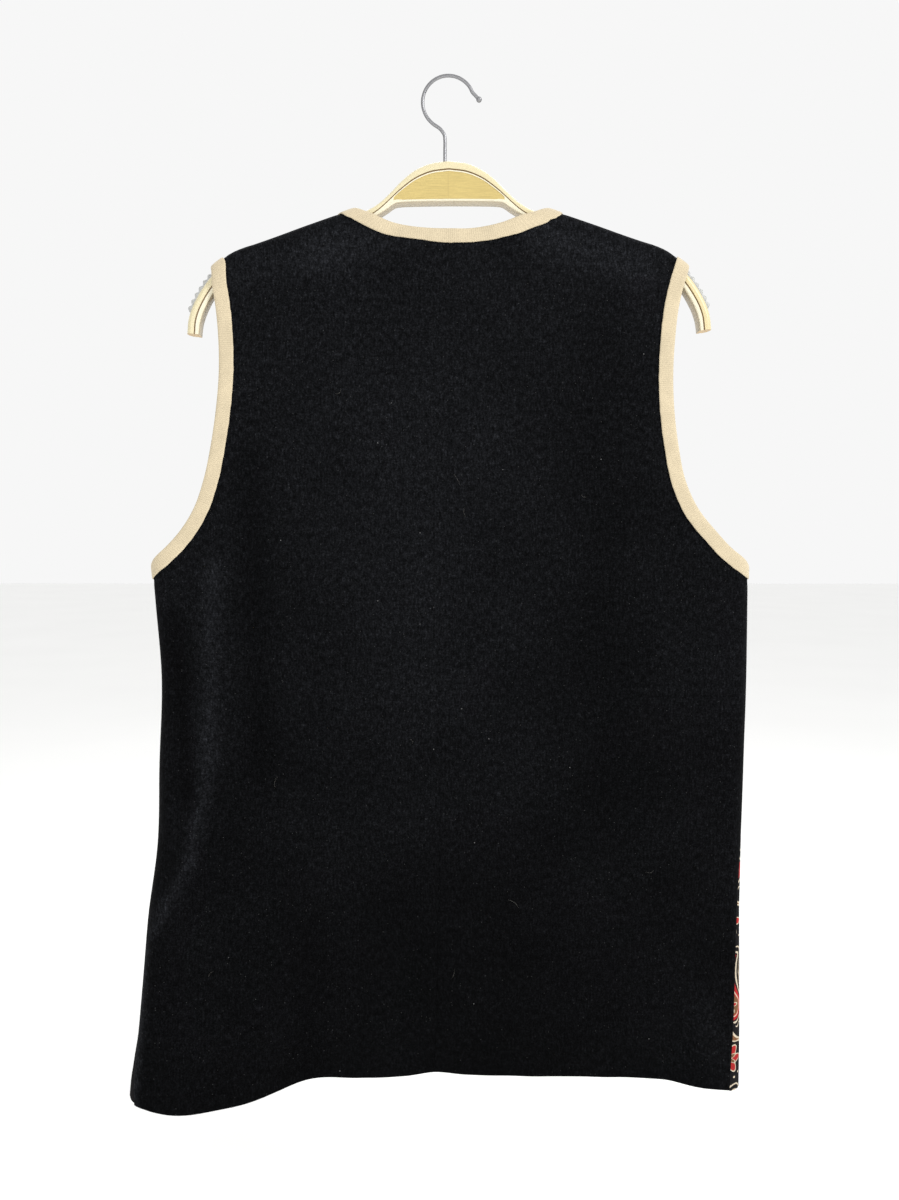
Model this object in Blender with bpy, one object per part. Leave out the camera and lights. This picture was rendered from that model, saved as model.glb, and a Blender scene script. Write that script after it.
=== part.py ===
"""Black vest with bound neck and armholes, on a shaped wooden hanger.

The vest's back faces -Y and its left side lies at -X. The origin is the inner top of the hook,
where the hanger is held. Sizes below are in millimetres and become metres when a mesh is made.

The cloth is drawn flat first: s runs across it from the middle line and q runs up it. The function
place() then bends that flat cloth round the sides and over the shoulders.
"""
import math

import bmesh
import bpy
import numpy as np

MM = 0.001

# Cloth, binding and the gaps between pieces
CLOTH = 1.6
BINDING = 1.0
BINDING_WIDTH = 12.5
BINDING_BEND = 1.6
BEND_INSIDE = 1.1
BEND_LIFT = 0.45
BINDING_STEPS = 4
BINDING_GAP = 0.5
EDGE_INSET = 2.2
SEAM_GAP = 0.3
FRONT_GAP = 3.0
SHOULDER_FOLD = 9.8

# Main lines of the vest
MIDDLE_TOP, MIDDLE_HEM = 2.2, -12.0
NECK_TOP, HEM_LINE = -126.0, -855.0
NECK_POINT = {-1: 79.5, 1: 84.0}
SHOULDER_TIP = {-1: 199.6, 1: 203.8}
PIT = -406.0
YOKE = -377.0
FRONT_SCOOP, SCOOP_TOP, SCOOP_FOOT = 8.0, -170.0, -395.0

# The lower corners' swing: its half width, and the share of it from the middle that stays still
SWING_WIDTH, SWING_STILL = 265.0, 0.15

# A soft fold's shares of its own length: how far it runs past each end, and how it rises and fades
FOLD_OVERRUN, FOLD_RISE, FOLD_FADE = 0.15, 0.4, 0.35

# Hanger and hook
HANG_TILT = math.radians(0.74)
HANGER_SHIFT = -0.9
HANGER_THICK = 13.6
CROWN_RISE = 4.5
BASE_ROUND = 1.5
CROWN_SIDES = 6
HANGER_STEPS = 2
WIRE_RADIUS = 1.4
WIRE_SIDES = 10
LOOP_RADIUS = 21.7
LOOP_DEGREES = range(232, 20, -14)
HOOK_END = [(22.3, -14.4), (24.2, -16.4)]
TIP_BALL = 2.3
BALL_DEGREES = (-50, -20, 15, 45, 70)
GRIP_WIDTH, GRIP_BASE, GRIP_TOOTH = 5.0, 1.2, 2.0
GRIP_TEETH, GRIP_PITCH = 6, 6.2
GRIP_FROM, GRIP_START = 189.0, 11.5

# Shares of a panel's height and of each bound edge at which the solids have a row
LOWER_ROWS = np.linspace(0, 1, 13)
FOLD_ROWS = [0.945, 0.959, 0.973, 0.987, 1]
UPPER_ROWS = np.array([0, 0.07, 0.15, 0.24, 0.35, 0.47, 0.60, 0.72, 0.84, 0.93] + FOLD_ROWS)
ARMHOLE_SHARES = np.array([0, 0.01, 0.02, 0.03, 0.04, 0.05, 0.06, 0.075, 0.1, 0.13, 0.16, 0.2, 0.25,
                           0.31, 0.38, 0.46, 0.56, 0.67, 0.78, 0.87, 0.93] + FOLD_ROWS)
FRONT_EDGE_SHARES = np.linspace(0, 1, 9)
FRONT_NECK_SHARES = np.array([0, 0.06, 0.13, 0.21, 0.33, 0.47, 0.62, 0.77, 0.87, 0.925] + FOLD_ROWS)
BACK_NECK_SHARES = np.concatenate([[0, 0.14, 0.28, 0.40, 0.50, 0.59, 0.67], np.linspace(0.73, 1, 12)])

# Columns of a back and a front, where the side fold begins among them, and the back's neck point
BACK_ACROSS = [0, 0.12, 0.22, 0.285, 0.32, 0.342, 0.358, 0.37, 0.48, 0.60, 0.69, 0.735, 0.77, 0.82,
               0.85, 0.88, 0.91, 0.94, 0.97, 1]
FRONT_ACROSS = [0, 0.13, 0.26, 0.39, 0.50, 0.565, 0.61, 0.65, 0.70, 0.74, 0.775, 0.81, 0.85,
                0.89, 0.93, 0.965, 1]
BACK_FOLD, FRONT_FOLD, NECK_COLUMN = 0.82, 0.65, 0.48

# How far below the shoulder seam the bindings' sections stay in line with it, in fold radii
ALIGN_FULL, ALIGN_END = 1.7, 2.7

# Step along the flat cloth over which its outward direction is measured, and the rounds in which a
# panel's top row and foot row settle
NORMAL_STEP = 0.5
TOP_ROUNDS, FOOT_ROUNDS = 8, 3


def table(columns, rows):
    """Named columns of a short table."""
    return {name: np.array([row[i] for row in rows], float) for i, name in enumerate(columns.split())}


# Half widths at the side folds, half the depth of the hanging vest, the angle of each side seam round
# its fold (90 is at the very side, less is on the back) and how far each side swings forward
FORM = table("height left right half_depth left_seam right_seam left_forward right_forward", [
    (-60, 253.0, 259.0, 9.8, 90, 90, 0, 0),
    (-170, 253.0, 259.0, 9.8, 90, 90, 0, 0),
    (-300, 253.5, 259.3, 11.2, 90, 90, 0, 0),
    (-400, 253.6, 259.3, 12.0, 90, 90, 0, 0),
    (-440, 251.0, 260.0, 12.2, 90, 90, 0, 0),
    (-500, 247.2, 260.4, 12.5, 90, 89, 0, 0),
    (-580, 250.3, 259.6, 12.6, 90, 83, 0.5, 0),
    (-650, 252.8, 258.8, 12.6, 90, 68, 2.5, 0.5),
    (-710, 260.5, 258.0, 12.4, 90, 46, 7, 2.5),
    (-760, 263.6, 258.2, 12.2, 88, 32, 14, 5.5),
    (-810, 266.6, 258.0, 12.0, 72, 20, 24, 9.5),
    (-846, 271.2, 257.2, 12.0, 40, 11, 30, 13),
    (-875, 272.6, 256.6, 12.0, 18, 6, 34, 16),
])

# Top line of the shoulders, measured out from the middle of the hanger
SHOULDER = table("out height", [
    (0, -80.0), (60, -101.2), (81, -108.4), (101, -114.9), (121, -121.7), (142, -129.1),
    (162, -135.9), (175, -140.0), (183, -143.6), (190, -148.2), (196, -152.6), (206, -160.0),
])

# Finished edge of each armhole, from the shoulder down to the side seam
ARMHOLE = table("height left right", [
    (-160, 197.6, 201.0), (-172, 196.9, 197.4), (-190, 194.3, 193.6), (-215, 192.3, 190.9),
    (-245, 192.3, 189.5), (-275, 195.0, 190.9), (-305, 199.6, 195.1), (-335, 206.3, 201.9),
    (-358, 214.5, 212.8), (-378, 227.0, 229.3), (-392, 240.0, 242.8), (-400.5, 250.0, 254.0),
    (-405.2, 256.5, 261.4),
])

# Finished neck edge: the scooped back, then the front's V by its half width
BACK_NECK = table("height left right", [
    (-124.6, 31, 27), (-120.8, 48, 43.5), (-114.8, 62, 60), (-110.6, 72.5, 74.5), (-106.2, 77.6, 81.3),
])
FRONT_NECK = table("height half", [
    (-106.2, 79.6), (-118, 76.5), (-150, 68.4), (-200, 54.0), (-250, 38.4), (-300, 21.6),
    (-335, 9.4), (-356, 3.6), (-370, 1.5),
])

# Hem line across the back and across the front
HEM = table("across back front", [
    (-290, -859.5, -859.0), (-277, -858.5, -856.5), (-263, -861.5, -860.5), (-250, -866.0, -862.5),
    (-236, -869.6, -864.0), (-205, -870.4, -863.5), (-172, -866.0, -860.0), (-145, -858.5, -857.0),
    (-122, -853.2, -855.5), (-78, -856.0, -857.5), (-38, -856.8, -859.5), (-12, -852.6, -858.0),
    (14, -855.2, -858.5), (50, -857.0, -857.0), (134, -854.8, -856.0), (190, -856.0, -859.5),
    (216, -861.0, -862.0), (240, -863.2, -863.5), (290, -864.0, -864.0),
])

# Largest soft folds: face -1 is the back, ends of each ridge, its height and half width
RIDGES = table("face top_x top_z foot_x foot_z height half_width", [
    (-1, -206, -430, -250, -800, 5.0, 24),
    (-1, -120, -560, -160, -880, 3.0, 30),
    (-1, 95, -600, 120, -880, 2.4, 34),
    (-1, 205, -420, 150, -560, 2.2, 22),
    (1, -150, -420, -190, -820, 2.0, 30),
    (1, 120, -430, 170, -800, 1.6, 30),
])

# Hook stem up to its loop, and one tooth of a grip by its share of the pitch
STEM = table("x z", [(-3, -68), (-3, -58), (-3, -51), (-3.6, -46.6), (-6.4, -42.4)])
TOOTH = table("share rise", [(0.15, 0), (0.4, 1), (0.6, 1), (0.85, 0)])

# Hanger outline, half of it from the middle to one tip: its crown and its underside
HANGER = table("crown_x crown_z base_x base_z", [
    (0.0, -68.4, 0.0, -103.0), (15.5, -70.6, 15.5, -103.1), (29.3, -76.6, 30.0, -103.3),
    (38.4, -83.6, 40.0, -103.6), (47.5, -92.6, 46.5, -104.2), (58.3, -102.4, 53.0, -111.6),
    (70.0, -109.0, 64.5, -118.8), (82.0, -113.4, 78.0, -124.1), (95.0, -117.2, 91.0, -128.2),
    (108.0, -120.3, 104.0, -131.3), (121.0, -123.6, 117.0, -134.8), (142.0, -131.0, 138.0, -142.0),
    (162.0, -137.8, 157.5, -148.8), (173.0, -142.4, 168.5, -153.2), (183.0, -148.0, 177.5, -158.2),
    (190.0, -152.8, 183.5, -162.6), (196.5, -158.0, 188.8, -167.0), (202.5, -164.2, 194.0, -172.0),
    (208.0, -171.4, 199.2, -178.6), (213.2, -179.6, 203.6, -186.0), (217.6, -188.2, 207.2, -193.6),
    (220.7, -197.8, 209.8, -201.8), (222.0, -209.0, 211.0, -210.5),
])


def read(tab, key, column, at):
    """Smooth curve through one column of a table, read at given places of its key column."""
    order = np.argsort(tab[key])
    x, y = tab[key][order], tab[column][order]
    at = np.clip(at, x[0], x[-1])
    k = np.clip(np.searchsorted(x, at) - 1, 0, len(x) - 2)
    span = x[k + 1] - x[k]
    t = (at - x[k]) / span
    slope = np.gradient(y, x)
    return ((2 * t**3 - 3 * t**2 + 1) * y[k] + (t**3 - 2 * t**2 + t) * span * slope[k]
            + (3 * t**2 - 2 * t**3) * y[k + 1] + (t**3 - t**2) * span * slope[k + 1])


def ease(t):
    """Smooth step from 0 to 1."""
    t = np.clip(t, 0.0, 1.0)
    return t * t * (3 - 2 * t)


def middle(q):
    """The vest's middle line, which leans a little as it hangs."""
    return MIDDLE_TOP + (MIDDLE_HEM - MIDDLE_TOP) * (q - NECK_TOP) / (HEM_LINE - NECK_TOP)


def shoulder(x):
    """Height of the shoulders' top line, tilted as the hanger is."""
    return read(SHOULDER, "out", "height", np.abs(x + HANGER_SHIFT)) + HANG_TILT * x


def seam_top(s):
    """Where the shoulder seam lies on the flat cloth."""
    return shoulder(s) + SHOULDER_FOLD * (math.pi / 2 - 1)


def flat_reach(s, q):
    """Where the flat part of each face ends, and the radius of the fold beyond it."""
    width = np.where(s < 0, read(FORM, "height", "left", q), read(FORM, "height", "right", q))
    depth = read(FORM, "height", "half_depth", q)
    return width - CLOTH / 2 - depth, depth


def forward(x, z):
    """How far the cloth swings forward, more towards each lower corner."""
    left, right = (ease((side * x / SWING_WIDTH - SWING_STILL) / (1 - SWING_STILL)) for side in (-1, 1))
    return (read(FORM, "height", "left_forward", z) * left
            + read(FORM, "height", "right_forward", z) * right)


def relief(face, x, z):
    """Outward rise of the soft folds on one face."""
    rise = np.zeros(np.broadcast(x, z).shape)
    for values in zip(*RIDGES.values()):
        row = dict(zip(RIDGES, values))
        run = np.array([row["foot_x"] - row["top_x"], row["foot_z"] - row["top_z"]])
        length = np.hypot(*run)
        dx, dz = x - row["top_x"], z - row["top_z"]
        t = (dx * run[0] + dz * run[1]) / length**2
        off = (dx * run[1] - dz * run[0]) / length
        fade = ease((t + FOLD_OVERRUN) / FOLD_RISE) * ease((1 + FOLD_OVERRUN - t) / FOLD_FADE)
        height = np.where(face == row["face"], row["height"], 0)
        rise += height * fade * np.exp(-(off / row["half_width"])**2)
    return rise


def hang(face, s, q):
    """A point of the cloth's middle layer; face is -1 on the back and 1 on the front."""
    flat, depth = flat_reach(s, q)
    turn = np.maximum(np.abs(s) - flat, 0) / depth
    x = np.sign(s) * (np.minimum(np.abs(s), flat) + depth * np.sin(turn))
    start = shoulder(x) - SHOULDER_FOLD
    over = np.maximum(q - start, 0) / SHOULDER_FOLD
    z = np.minimum(q, start) + SHOULDER_FOLD * np.sin(over)
    facing = np.cos(turn) * np.cos(over)
    rise = relief(np.where(facing < 0, -face, face), x, z) * np.abs(facing)
    y = face * facing * depth + np.sign(face * facing) * rise - forward(x, z)
    return np.stack(np.broadcast_arrays(x, y, z), axis=-1)


def place(face, s, q, lift=0.0):
    """A point of the hung cloth, moved outward from its middle layer by lift."""
    s, q, lift = np.broadcast_arrays(np.asarray(s, float), np.asarray(q, float), np.asarray(lift, float))
    across = hang(face, s + NORMAL_STEP, q) - hang(face, s - NORMAL_STEP, q)
    upward = hang(face, s, q + NORMAL_STEP) - hang(face, s, q - NORMAL_STEP)
    normal = np.cross(across, upward) * -face
    normal /= np.linalg.norm(normal, axis=-1, keepdims=True)
    return hang(face, s, q) + normal * lift[..., None]


def smooth_line(points, steps=24):
    """A smooth line through points, by chord length."""
    points = np.array(points, float)
    gaps = np.linalg.norm(np.diff(points, axis=0), axis=1)
    chord = np.concatenate([[0], np.cumsum(gaps)])
    columns = {"at": chord, "s": points[:, 0], "q": points[:, 1]}
    at = np.linspace(0, chord[-1], steps * len(gaps) + 1)
    return np.stack([read(columns, "at", "s", at), read(columns, "at", "q", at)], axis=1)


def along(line, fractions):
    """Points of a line at fractions of its length."""
    return along_values(line, line, fractions)


def along_values(line, values, fractions):
    """Values kept with a line's points, read at fractions of its length."""
    chord = np.concatenate([[0], np.cumsum(np.linalg.norm(np.diff(line, axis=0), axis=1))])
    at = np.asarray(fractions) * chord[-1]
    return np.stack([np.interp(at, chord, values[:, i]) for i in (0, 1)], axis=1)


def inward(line, side):
    """Unit normals of a flat line, on its right (side 1) or left (side -1)."""
    run = np.gradient(line, axis=0)
    run /= np.linalg.norm(run, axis=1, keepdims=True)
    return np.stack([run[:, 1], -run[:, 0]], axis=1) * side


def inset(line, side, by=EDGE_INSET):
    """A flat line moved into its panel."""
    return line + inward(line, side) * by


def armhole_line(face, side):
    """Finished armhole edge on the flat cloth, from the side seam up to the shoulder seam."""
    name = "left" if side < 0 else "right"
    tip = SHOULDER_TIP[side]
    rows = [(tip, seam_top(side * tip))]
    for height, half in zip(ARMHOLE["height"], ARMHOLE[name]):
        t = (SCOOP_TOP - height) / (SCOOP_TOP - SCOOP_FOOT)
        scoop = FRONT_SCOOP * math.sin(math.pi * min(max(t, 0), 1))**2 if face > 0 else 0
        rows.append((half - scoop, height))
    rows.append((abs(side_seam(face, side, PIT)), PIT))
    return smooth_line([(side * s, q) for s, q in rows[::-1]])


def side_seam(face, side, q):
    """Where a side seam lies on the flat cloth of one face."""
    flat, depth = flat_reach(np.asarray(side * 1.0), np.asarray(q, float))
    angle = np.radians(read(FORM, "height", "left_seam" if side < 0 else "right_seam", q))
    return side * (flat + depth * (angle if face < 0 else math.pi - angle))


def back_neck_line(side):
    """Finished back neck edge, from the middle out to the shoulder seam."""
    name = "left" if side < 0 else "right"
    rows = [(middle(NECK_TOP), NECK_TOP), (middle(NECK_TOP) + side * 12, NECK_TOP)]
    rows += [(side * half, height) for height, half in zip(BACK_NECK["height"], BACK_NECK[name])]
    rows.append((side * NECK_POINT[side], seam_top(side * NECK_POINT[side])))
    return smooth_line(rows)


def front_neck_line(side):
    """Finished V of one front, from its foot up to the shoulder seam."""
    rows = [(side * NECK_POINT[side], seam_top(side * NECK_POINT[side]))]
    rows += [(middle(height) + side * half, height)
             for height, half in zip(FRONT_NECK["height"], FRONT_NECK["half"])]
    return smooth_line(rows[::-1])


def front_edge_line(side):
    """Finished straight edge of one front, from the hem up to the foot of the V."""
    foot = FRONT_NECK["height"][-1]
    low = hem(1, middle(HEM_LINE))
    return np.array([(middle(q) + side * FRONT_GAP / 2, q) for q in np.linspace(low, foot, 40)])


def hem(face, s):
    """Height of the hem on the flat cloth of one face."""
    return read(HEM, "across", "back" if face < 0 else "front", s)


def make_object(name, bm, material, smooth_angle=40):
    """Turn a bmesh in millimetres into a named object in metres."""
    bmesh.ops.scale(bm, vec=(MM, MM, MM), verts=bm.verts)
    bmesh.ops.recalc_face_normals(bm, faces=bm.faces)
    mesh = bpy.data.meshes.new(name)
    bm.to_mesh(mesh)
    bm.free()
    mesh.shade_smooth()
    mesh.set_sharp_from_angle(angle=math.radians(smooth_angle))
    mesh.materials.append(material)
    obj = bpy.data.objects.new(name, mesh)
    bpy.context.scene.collection.objects.link(obj)
    return obj


def make_material(name, color, roughness, metallic=0.0, alpha=1.0):
    """A plain material for one kind of piece."""
    material = bpy.data.materials.new(name)
    material.use_nodes = True
    shader = material.node_tree.nodes["Principled BSDF"]
    shader.inputs["Base Color"].default_value = (*color, 1.0)
    shader.inputs["Roughness"].default_value = roughness
    shader.inputs["Metallic"].default_value = metallic
    shader.inputs["Alpha"].default_value = alpha
    return material


def wall(flat, quads, face):
    """A closed wall of cloth over a flat mesh of points and quads."""
    bm = bmesh.new()
    out, back = ([bm.verts.new(p) for p in place(face, flat[:, 0], flat[:, 1], lift)]
                 for lift in (CLOTH / 2, -CLOTH / 2))
    rim = set()
    for quad in quads:
        bm.faces.new([out[k] for k in quad])
        bm.faces.new([back[k] for k in quad[::-1]])
        for edge in zip(quad, quad[1:] + quad[:1]):
            rim ^= {tuple(sorted(edge))}
    for a, b in sorted(rim):
        bm.faces.new((out[a], out[b], back[b], back[a]))
    return bm


def loft(rings, closed=False, cap=None):
    """A closed skin through rings of points, with flat ends unless it closes on itself."""
    cap = cap or [range(len(rings[0]))]
    bm = bmesh.new()
    loops = [[bm.verts.new(p) for p in ring] for ring in rings]
    pairs = list(zip(loops, loops[1:]))
    if closed:
        pairs.append((loops[-1], loops[0]))
    for near, far in pairs:
        for k in range(len(near)):
            m = (k + 1) % len(near)
            bm.faces.new((near[k], near[m], far[m], far[k]))
    if not closed:
        for face in cap:
            bm.faces.new([loops[0][k] for k in face])
            bm.faces.new([loops[-1][k] for k in reversed(face)])
    return bm


def coons(foot, top, inner, outer, across, up):
    """Flat grid between four edges: foot and top run outward, inner and outer run up."""
    u, v = across[:, None, None], up[None, :, None]
    corners = ((1 - u) * (1 - v) * foot[0] + u * (1 - v) * foot[-1]
               + (1 - u) * v * top[0] + u * v * top[-1])
    return ((1 - v) * foot[:, None] + v * top[:, None]
            + (1 - u) * inner[None] + u * outer[None] - corners)


def seam_rim(face, side, q):
    """The panel's own edge at the side seam."""
    return side_seam(face, side, q) - side * SEAM_GAP / 2


def middle_edge(face, side):
    """A panel's inner edge from hem to shoulder or back neck, and its neck edge on the back."""
    if face > 0:
        line = np.concatenate([front_edge_line(side)[:-1], front_neck_line(side)])
        line = inset(line, side)
        line[-1, 1] -= SEAM_GAP / 2
        return line, None
    neck = inset(back_neck_line(side), side)
    neck[-1, 1] -= SEAM_GAP / 2
    neck[0, 0] = middle(neck[0, 1]) + side * SEAM_GAP / 2
    q = np.linspace(HEM_LINE - 5, neck[0, 1], 200)
    return np.stack([middle(q) + side * SEAM_GAP / 2, q], axis=1), neck


def lower_grid(face, side, inner, arm, across, roll_share, rows):
    """Flat grid from the hem up to the yoke line and the foot of the armhole."""
    def column(q, share):
        start = np.interp(q, inner[:, 1], inner[:, 0])
        flat = flat_reach(np.asarray(side * 1.0), q)[0] * side
        end = seam_rim(face, side, q)
        bent = flat + (end - flat) * (share - roll_share) / (1 - roll_share)
        return np.where(share > roll_share, bent, start + (flat - start) * share / roll_share)

    order = np.argsort(arm[:, 0])
    s_top = column(np.full(len(across), YOKE), across)
    q_top = np.interp(s_top, arm[order, 0], arm[order, 1], left=YOKE, right=YOKE)
    for _ in range(TOP_ROUNDS):
        s_top = column(q_top, across)
        on_arm = np.interp(s_top, arm[order, 0], arm[order, 1])
        q_top = np.where(np.abs(s_top) > np.abs(arm[-1, 0]), on_arm, YOKE)
    q_foot = hem(face, column(np.full(len(across), HEM_LINE), across))
    for _ in range(FOOT_ROUNDS):
        q_foot = hem(face, column(q_foot, across))
    q = q_foot[:, None] + (q_top - q_foot)[:, None] * rows[None, :]
    return np.stack([column(q, across[:, None]), q], axis=2)


def panel_mesh(face, side, across, roll_share):
    """Points and quads of one flat panel: a lower block, and an upper one inside the armhole."""
    inner, neck = middle_edge(face, side)
    arm = inset(armhole_line(face, side), -side)
    arm[-1, 1] -= SEAM_GAP / 2
    arm[0, 0] = seam_rim(face, side, arm[0, 1])
    split = np.argmin(np.abs(arm[:, 1] - YOKE))
    arm[split, 1] = YOKE
    top_of_flat = flat_reach(np.asarray(side * 1.0), YOKE)[0] * side
    start = np.interp(YOKE, inner[:, 1], inner[:, 0])
    across = across.copy()
    last = np.argmin(np.abs(start + (top_of_flat - start) * across / roll_share - arm[split, 0]))
    across[last] = (arm[split, 0] - start) / (top_of_flat - start) * roll_share
    lower = lower_grid(face, side, inner, arm[:split + 1], across, roll_share, LOWER_ROWS)
    lower[last, -1] = arm[split]
    share = (lower[:last + 1, -1, 0] - lower[0, -1, 0]) / (arm[split, 0] - lower[0, -1, 0])
    upper_inner = np.concatenate([[lower[0, -1]], inner[inner[:, 1] > YOKE]])
    upper_inner = along(upper_inner, UPPER_ROWS)
    upper_outer = along(arm[split:], UPPER_ROWS)
    if neck is None:
        top = seam_row(upper_inner[-1, 0], upper_outer[-1, 0], share)
    else:
        point = np.argmin(np.abs(share - NECK_COLUMN))
        top = along(neck, share[:point + 1] / share[point])
        top = np.concatenate([top[:-1], seam_row(neck[-1, 0], upper_outer[-1, 0],
                                                 (share[point:] - share[point]) / (1 - share[point]))])
    top[0], top[-1] = upper_inner[-1], upper_outer[-1]
    upper = coons(lower[:last + 1, -1], top, upper_inner, upper_outer, share, UPPER_ROWS)
    rows, upper_rows = len(LOWER_ROWS), len(UPPER_ROWS)
    points = np.concatenate([lower.reshape(-1, 2), upper[:, 1:].reshape(-1, 2)])
    index = np.arange(len(points))
    low = index[:lower.shape[0] * rows].reshape(-1, rows)
    high = np.concatenate([low[:last + 1, -1:], index[low.size:].reshape(-1, upper_rows - 1)], axis=1)
    quads = []
    for block in (low, high):
        for i in range(block.shape[0] - 1):
            for j in range(block.shape[1] - 1):
                corners = (block[i, j], block[i + 1, j], block[i + 1, j + 1], block[i, j + 1])
                quads.append([int(corner) for corner in corners])
    return points, quads


def seam_row(start, end, share):
    """Panel points just short of the shoulder seam."""
    s = start + (end - start) * share
    return np.stack([s, seam_top(s) - SEAM_GAP / 2], axis=1)


def make_panel(name, face, side, material):
    """One of the four cloth panels."""
    across, roll_share = (BACK_ACROSS, BACK_FOLD) if face < 0 else (FRONT_ACROSS, FRONT_FOLD)
    points, quads = panel_mesh(face, side, np.array(across), roll_share)
    return make_object(name, wall(points, quads, face), material)


def binding_profile():
    """Section of the folded binding: distance in from the finished edge, and lift."""
    skin = CLOTH / 2 + BINDING_GAP
    out = skin + BINDING
    reach = np.linspace(BINDING_WIDTH, BINDING_BEND, BINDING_STEPS)
    outer = [(d, out) for d in reach] + [(0, out * BEND_LIFT)]
    inner = [(d, skin) for d in reach[:-1]] + [(BEND_INSIDE, skin)]
    return np.array(outer + [(d, -h) for d, h in outer[::-1]] + [(d, -h) for d, h in inner] + inner[::-1])


def binding_cap():
    """Faces that close an end of the folded binding, leg by leg."""
    out, total = 2 * BINDING_STEPS + 1, 4 * BINDING_STEPS + 1
    legs = [(k, k + 1, total - k - 1, total - k) for k in range(BINDING_STEPS - 1)]
    mirrored = out + total + 1
    legs += [(out - b, out - a, mirrored - d, mirrored - c) for a, b, c, d in legs]
    k, m = BINDING_STEPS - 1, total - BINDING_STEPS + 1
    return legs + [(k, k + 1, m), (k + 1, k + 2, m - 1, m), (k + 2, k + 3, m - 1)]


def binding_rings(face, line, side, shares, at_side=False):
    """Rings of the binding's section along a finished edge that ends at the shoulder seam."""
    normals = inward(line, side)
    slope = (seam_top(line[:, 0] + 1) - seam_top(line[:, 0] - 1)) / 2
    along_seam = np.stack([np.ones(len(line)), slope], axis=1) * np.sign(normals[-1, 0])
    below = (seam_top(line[:, 0]) - line[:, 1]) / SHOULDER_FOLD
    near = ease((ALIGN_END - below) / (ALIGN_END - ALIGN_FULL))[:, None]
    ways = normals * (1 - near) + along_seam * near
    if at_side:
        near = ease(1 - np.abs(line[:, :1] - line[0, 0]) / SHOULDER_FOLD)
        ways = ways * (1 - near) + np.array([[0.0, -1.0]]) * near
    ways /= (ways * normals).sum(axis=1, keepdims=True)
    profile = binding_profile()
    rings = []
    for point, way in zip(along(line, shares), along_values(line, ways, shares)):
        flat = point + profile[:, :1] * way
        rings.append(place(face, flat[:, 0], flat[:, 1], profile[:, 1]))
    return rings


def make_neck_binding(material):
    """One strip: up the left front, round the neck and down the right front."""
    rings = []
    for side in (-1, 1):
        edge, neck = front_edge_line(side), front_neck_line(side)
        front = binding_rings(1, np.concatenate([edge[:-1], neck]), side, shares_of_two(edge, neck))
        back = binding_rings(-1, back_neck_line(side), side, BACK_NECK_SHARES)
        half = front + back[-2::-1]
        rings += half if side < 0 else half[-2::-1]
    return make_object("neck_binding", loft(rings, cap=binding_cap()), material)


def shares_of_two(edge, neck):
    """Shares of the whole front edge, from those of its straight part and of its V."""
    a, b = (np.linalg.norm(np.diff(line, axis=0), axis=1).sum() for line in (edge, neck))
    return np.concatenate([FRONT_EDGE_SHARES[:-1] * a, a + FRONT_NECK_SHARES * b]) / (a + b)


def make_armhole_binding(name, side, material):
    """One closed strip round an armhole."""
    back, front = (binding_rings(face, armhole_line(face, side), -side, ARMHOLE_SHARES, at_side=True)
                   for face in (-1, 1))
    return make_object(name, loft(back + front[-2:0:-1], closed=True), material)


def hanger_place(x, z):
    """A point of the hanger's own outline, hung with its small tilt."""
    x = x + HANGER_SHIFT
    return (x * math.cos(HANG_TILT) - z * math.sin(HANG_TILT),
            x * math.sin(HANG_TILT) + z * math.cos(HANG_TILT))


def hanger_section(height):
    """Points of one section: across the thickness and up from the base."""
    half = HANGER_THICK / 2
    points = [(-half, BASE_ROUND), (-half + BASE_ROUND, 0), (half - BASE_ROUND, 0), (half, BASE_ROUND)]
    for k in range(CROWN_SIDES + 1):
        angle = math.pi * k / CROWN_SIDES
        points.append((half * math.cos(angle), height - CROWN_RISE + CROWN_RISE * math.sin(angle)))
    return points


def make_hanger(material):
    """One shaped body: crown and underside meet in each section of the two arms."""
    crown, base = (smooth_line(np.stack([HANGER[name + "_x"], HANGER[name + "_z"]], axis=1), HANGER_STEPS)
                   for name in ("crown", "base"))
    rings = []
    for k in range(1 - len(crown), len(crown)):
        side = -1 if k < 0 else 1
        top, foot = (np.array(hanger_place(side * line[abs(k), 0], line[abs(k), 1]))
                     for line in (crown, base))
        height = np.linalg.norm(top - foot)
        up = (top - foot) / height
        rings.append([(foot[0] + up[0] * h, y, foot[1] + up[1] * h) for y, h in hanger_section(height)])
    return make_object("hanger_body", loft(rings), material)


def make_hook(material):
    """Round wire: stem, bend, open loop and a ball at its tip."""
    path = list(zip(STEM["x"], STEM["z"]))
    centre = WIRE_RADIUS - LOOP_RADIUS
    for angle in np.radians(LOOP_DEGREES):
        path.append((LOOP_RADIUS * math.cos(angle), centre + LOOP_RADIUS * math.sin(angle)))
    line = smooth_line(path + HOOK_END, steps=2)
    tip = line[-1] - line[-2]
    tip /= np.linalg.norm(tip)
    points = list(line)
    radii = [WIRE_RADIUS] * len(points)
    ball = np.radians(BALL_DEGREES)
    for angle in ball:
        points.append(line[-1] + tip * TIP_BALL * (math.sin(angle) - math.sin(ball[0])))
        radii.append(TIP_BALL * math.cos(angle))
    run = np.gradient(np.array(points), axis=0)
    run /= np.linalg.norm(run, axis=1, keepdims=True)
    rings = []
    for (x, z), (rx, rz), radius in zip(points, run, radii):
        ring = []
        for k in range(WIRE_SIDES):
            angle = math.tau * k / WIRE_SIDES
            side, depth = radius * math.cos(angle), radius * math.sin(angle)
            ring.append((x - rz * side, depth, z + rx * side))
        rings.append(ring)
    return make_object("hanger_hook", loft(rings), material, smooth_angle=60)


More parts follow.
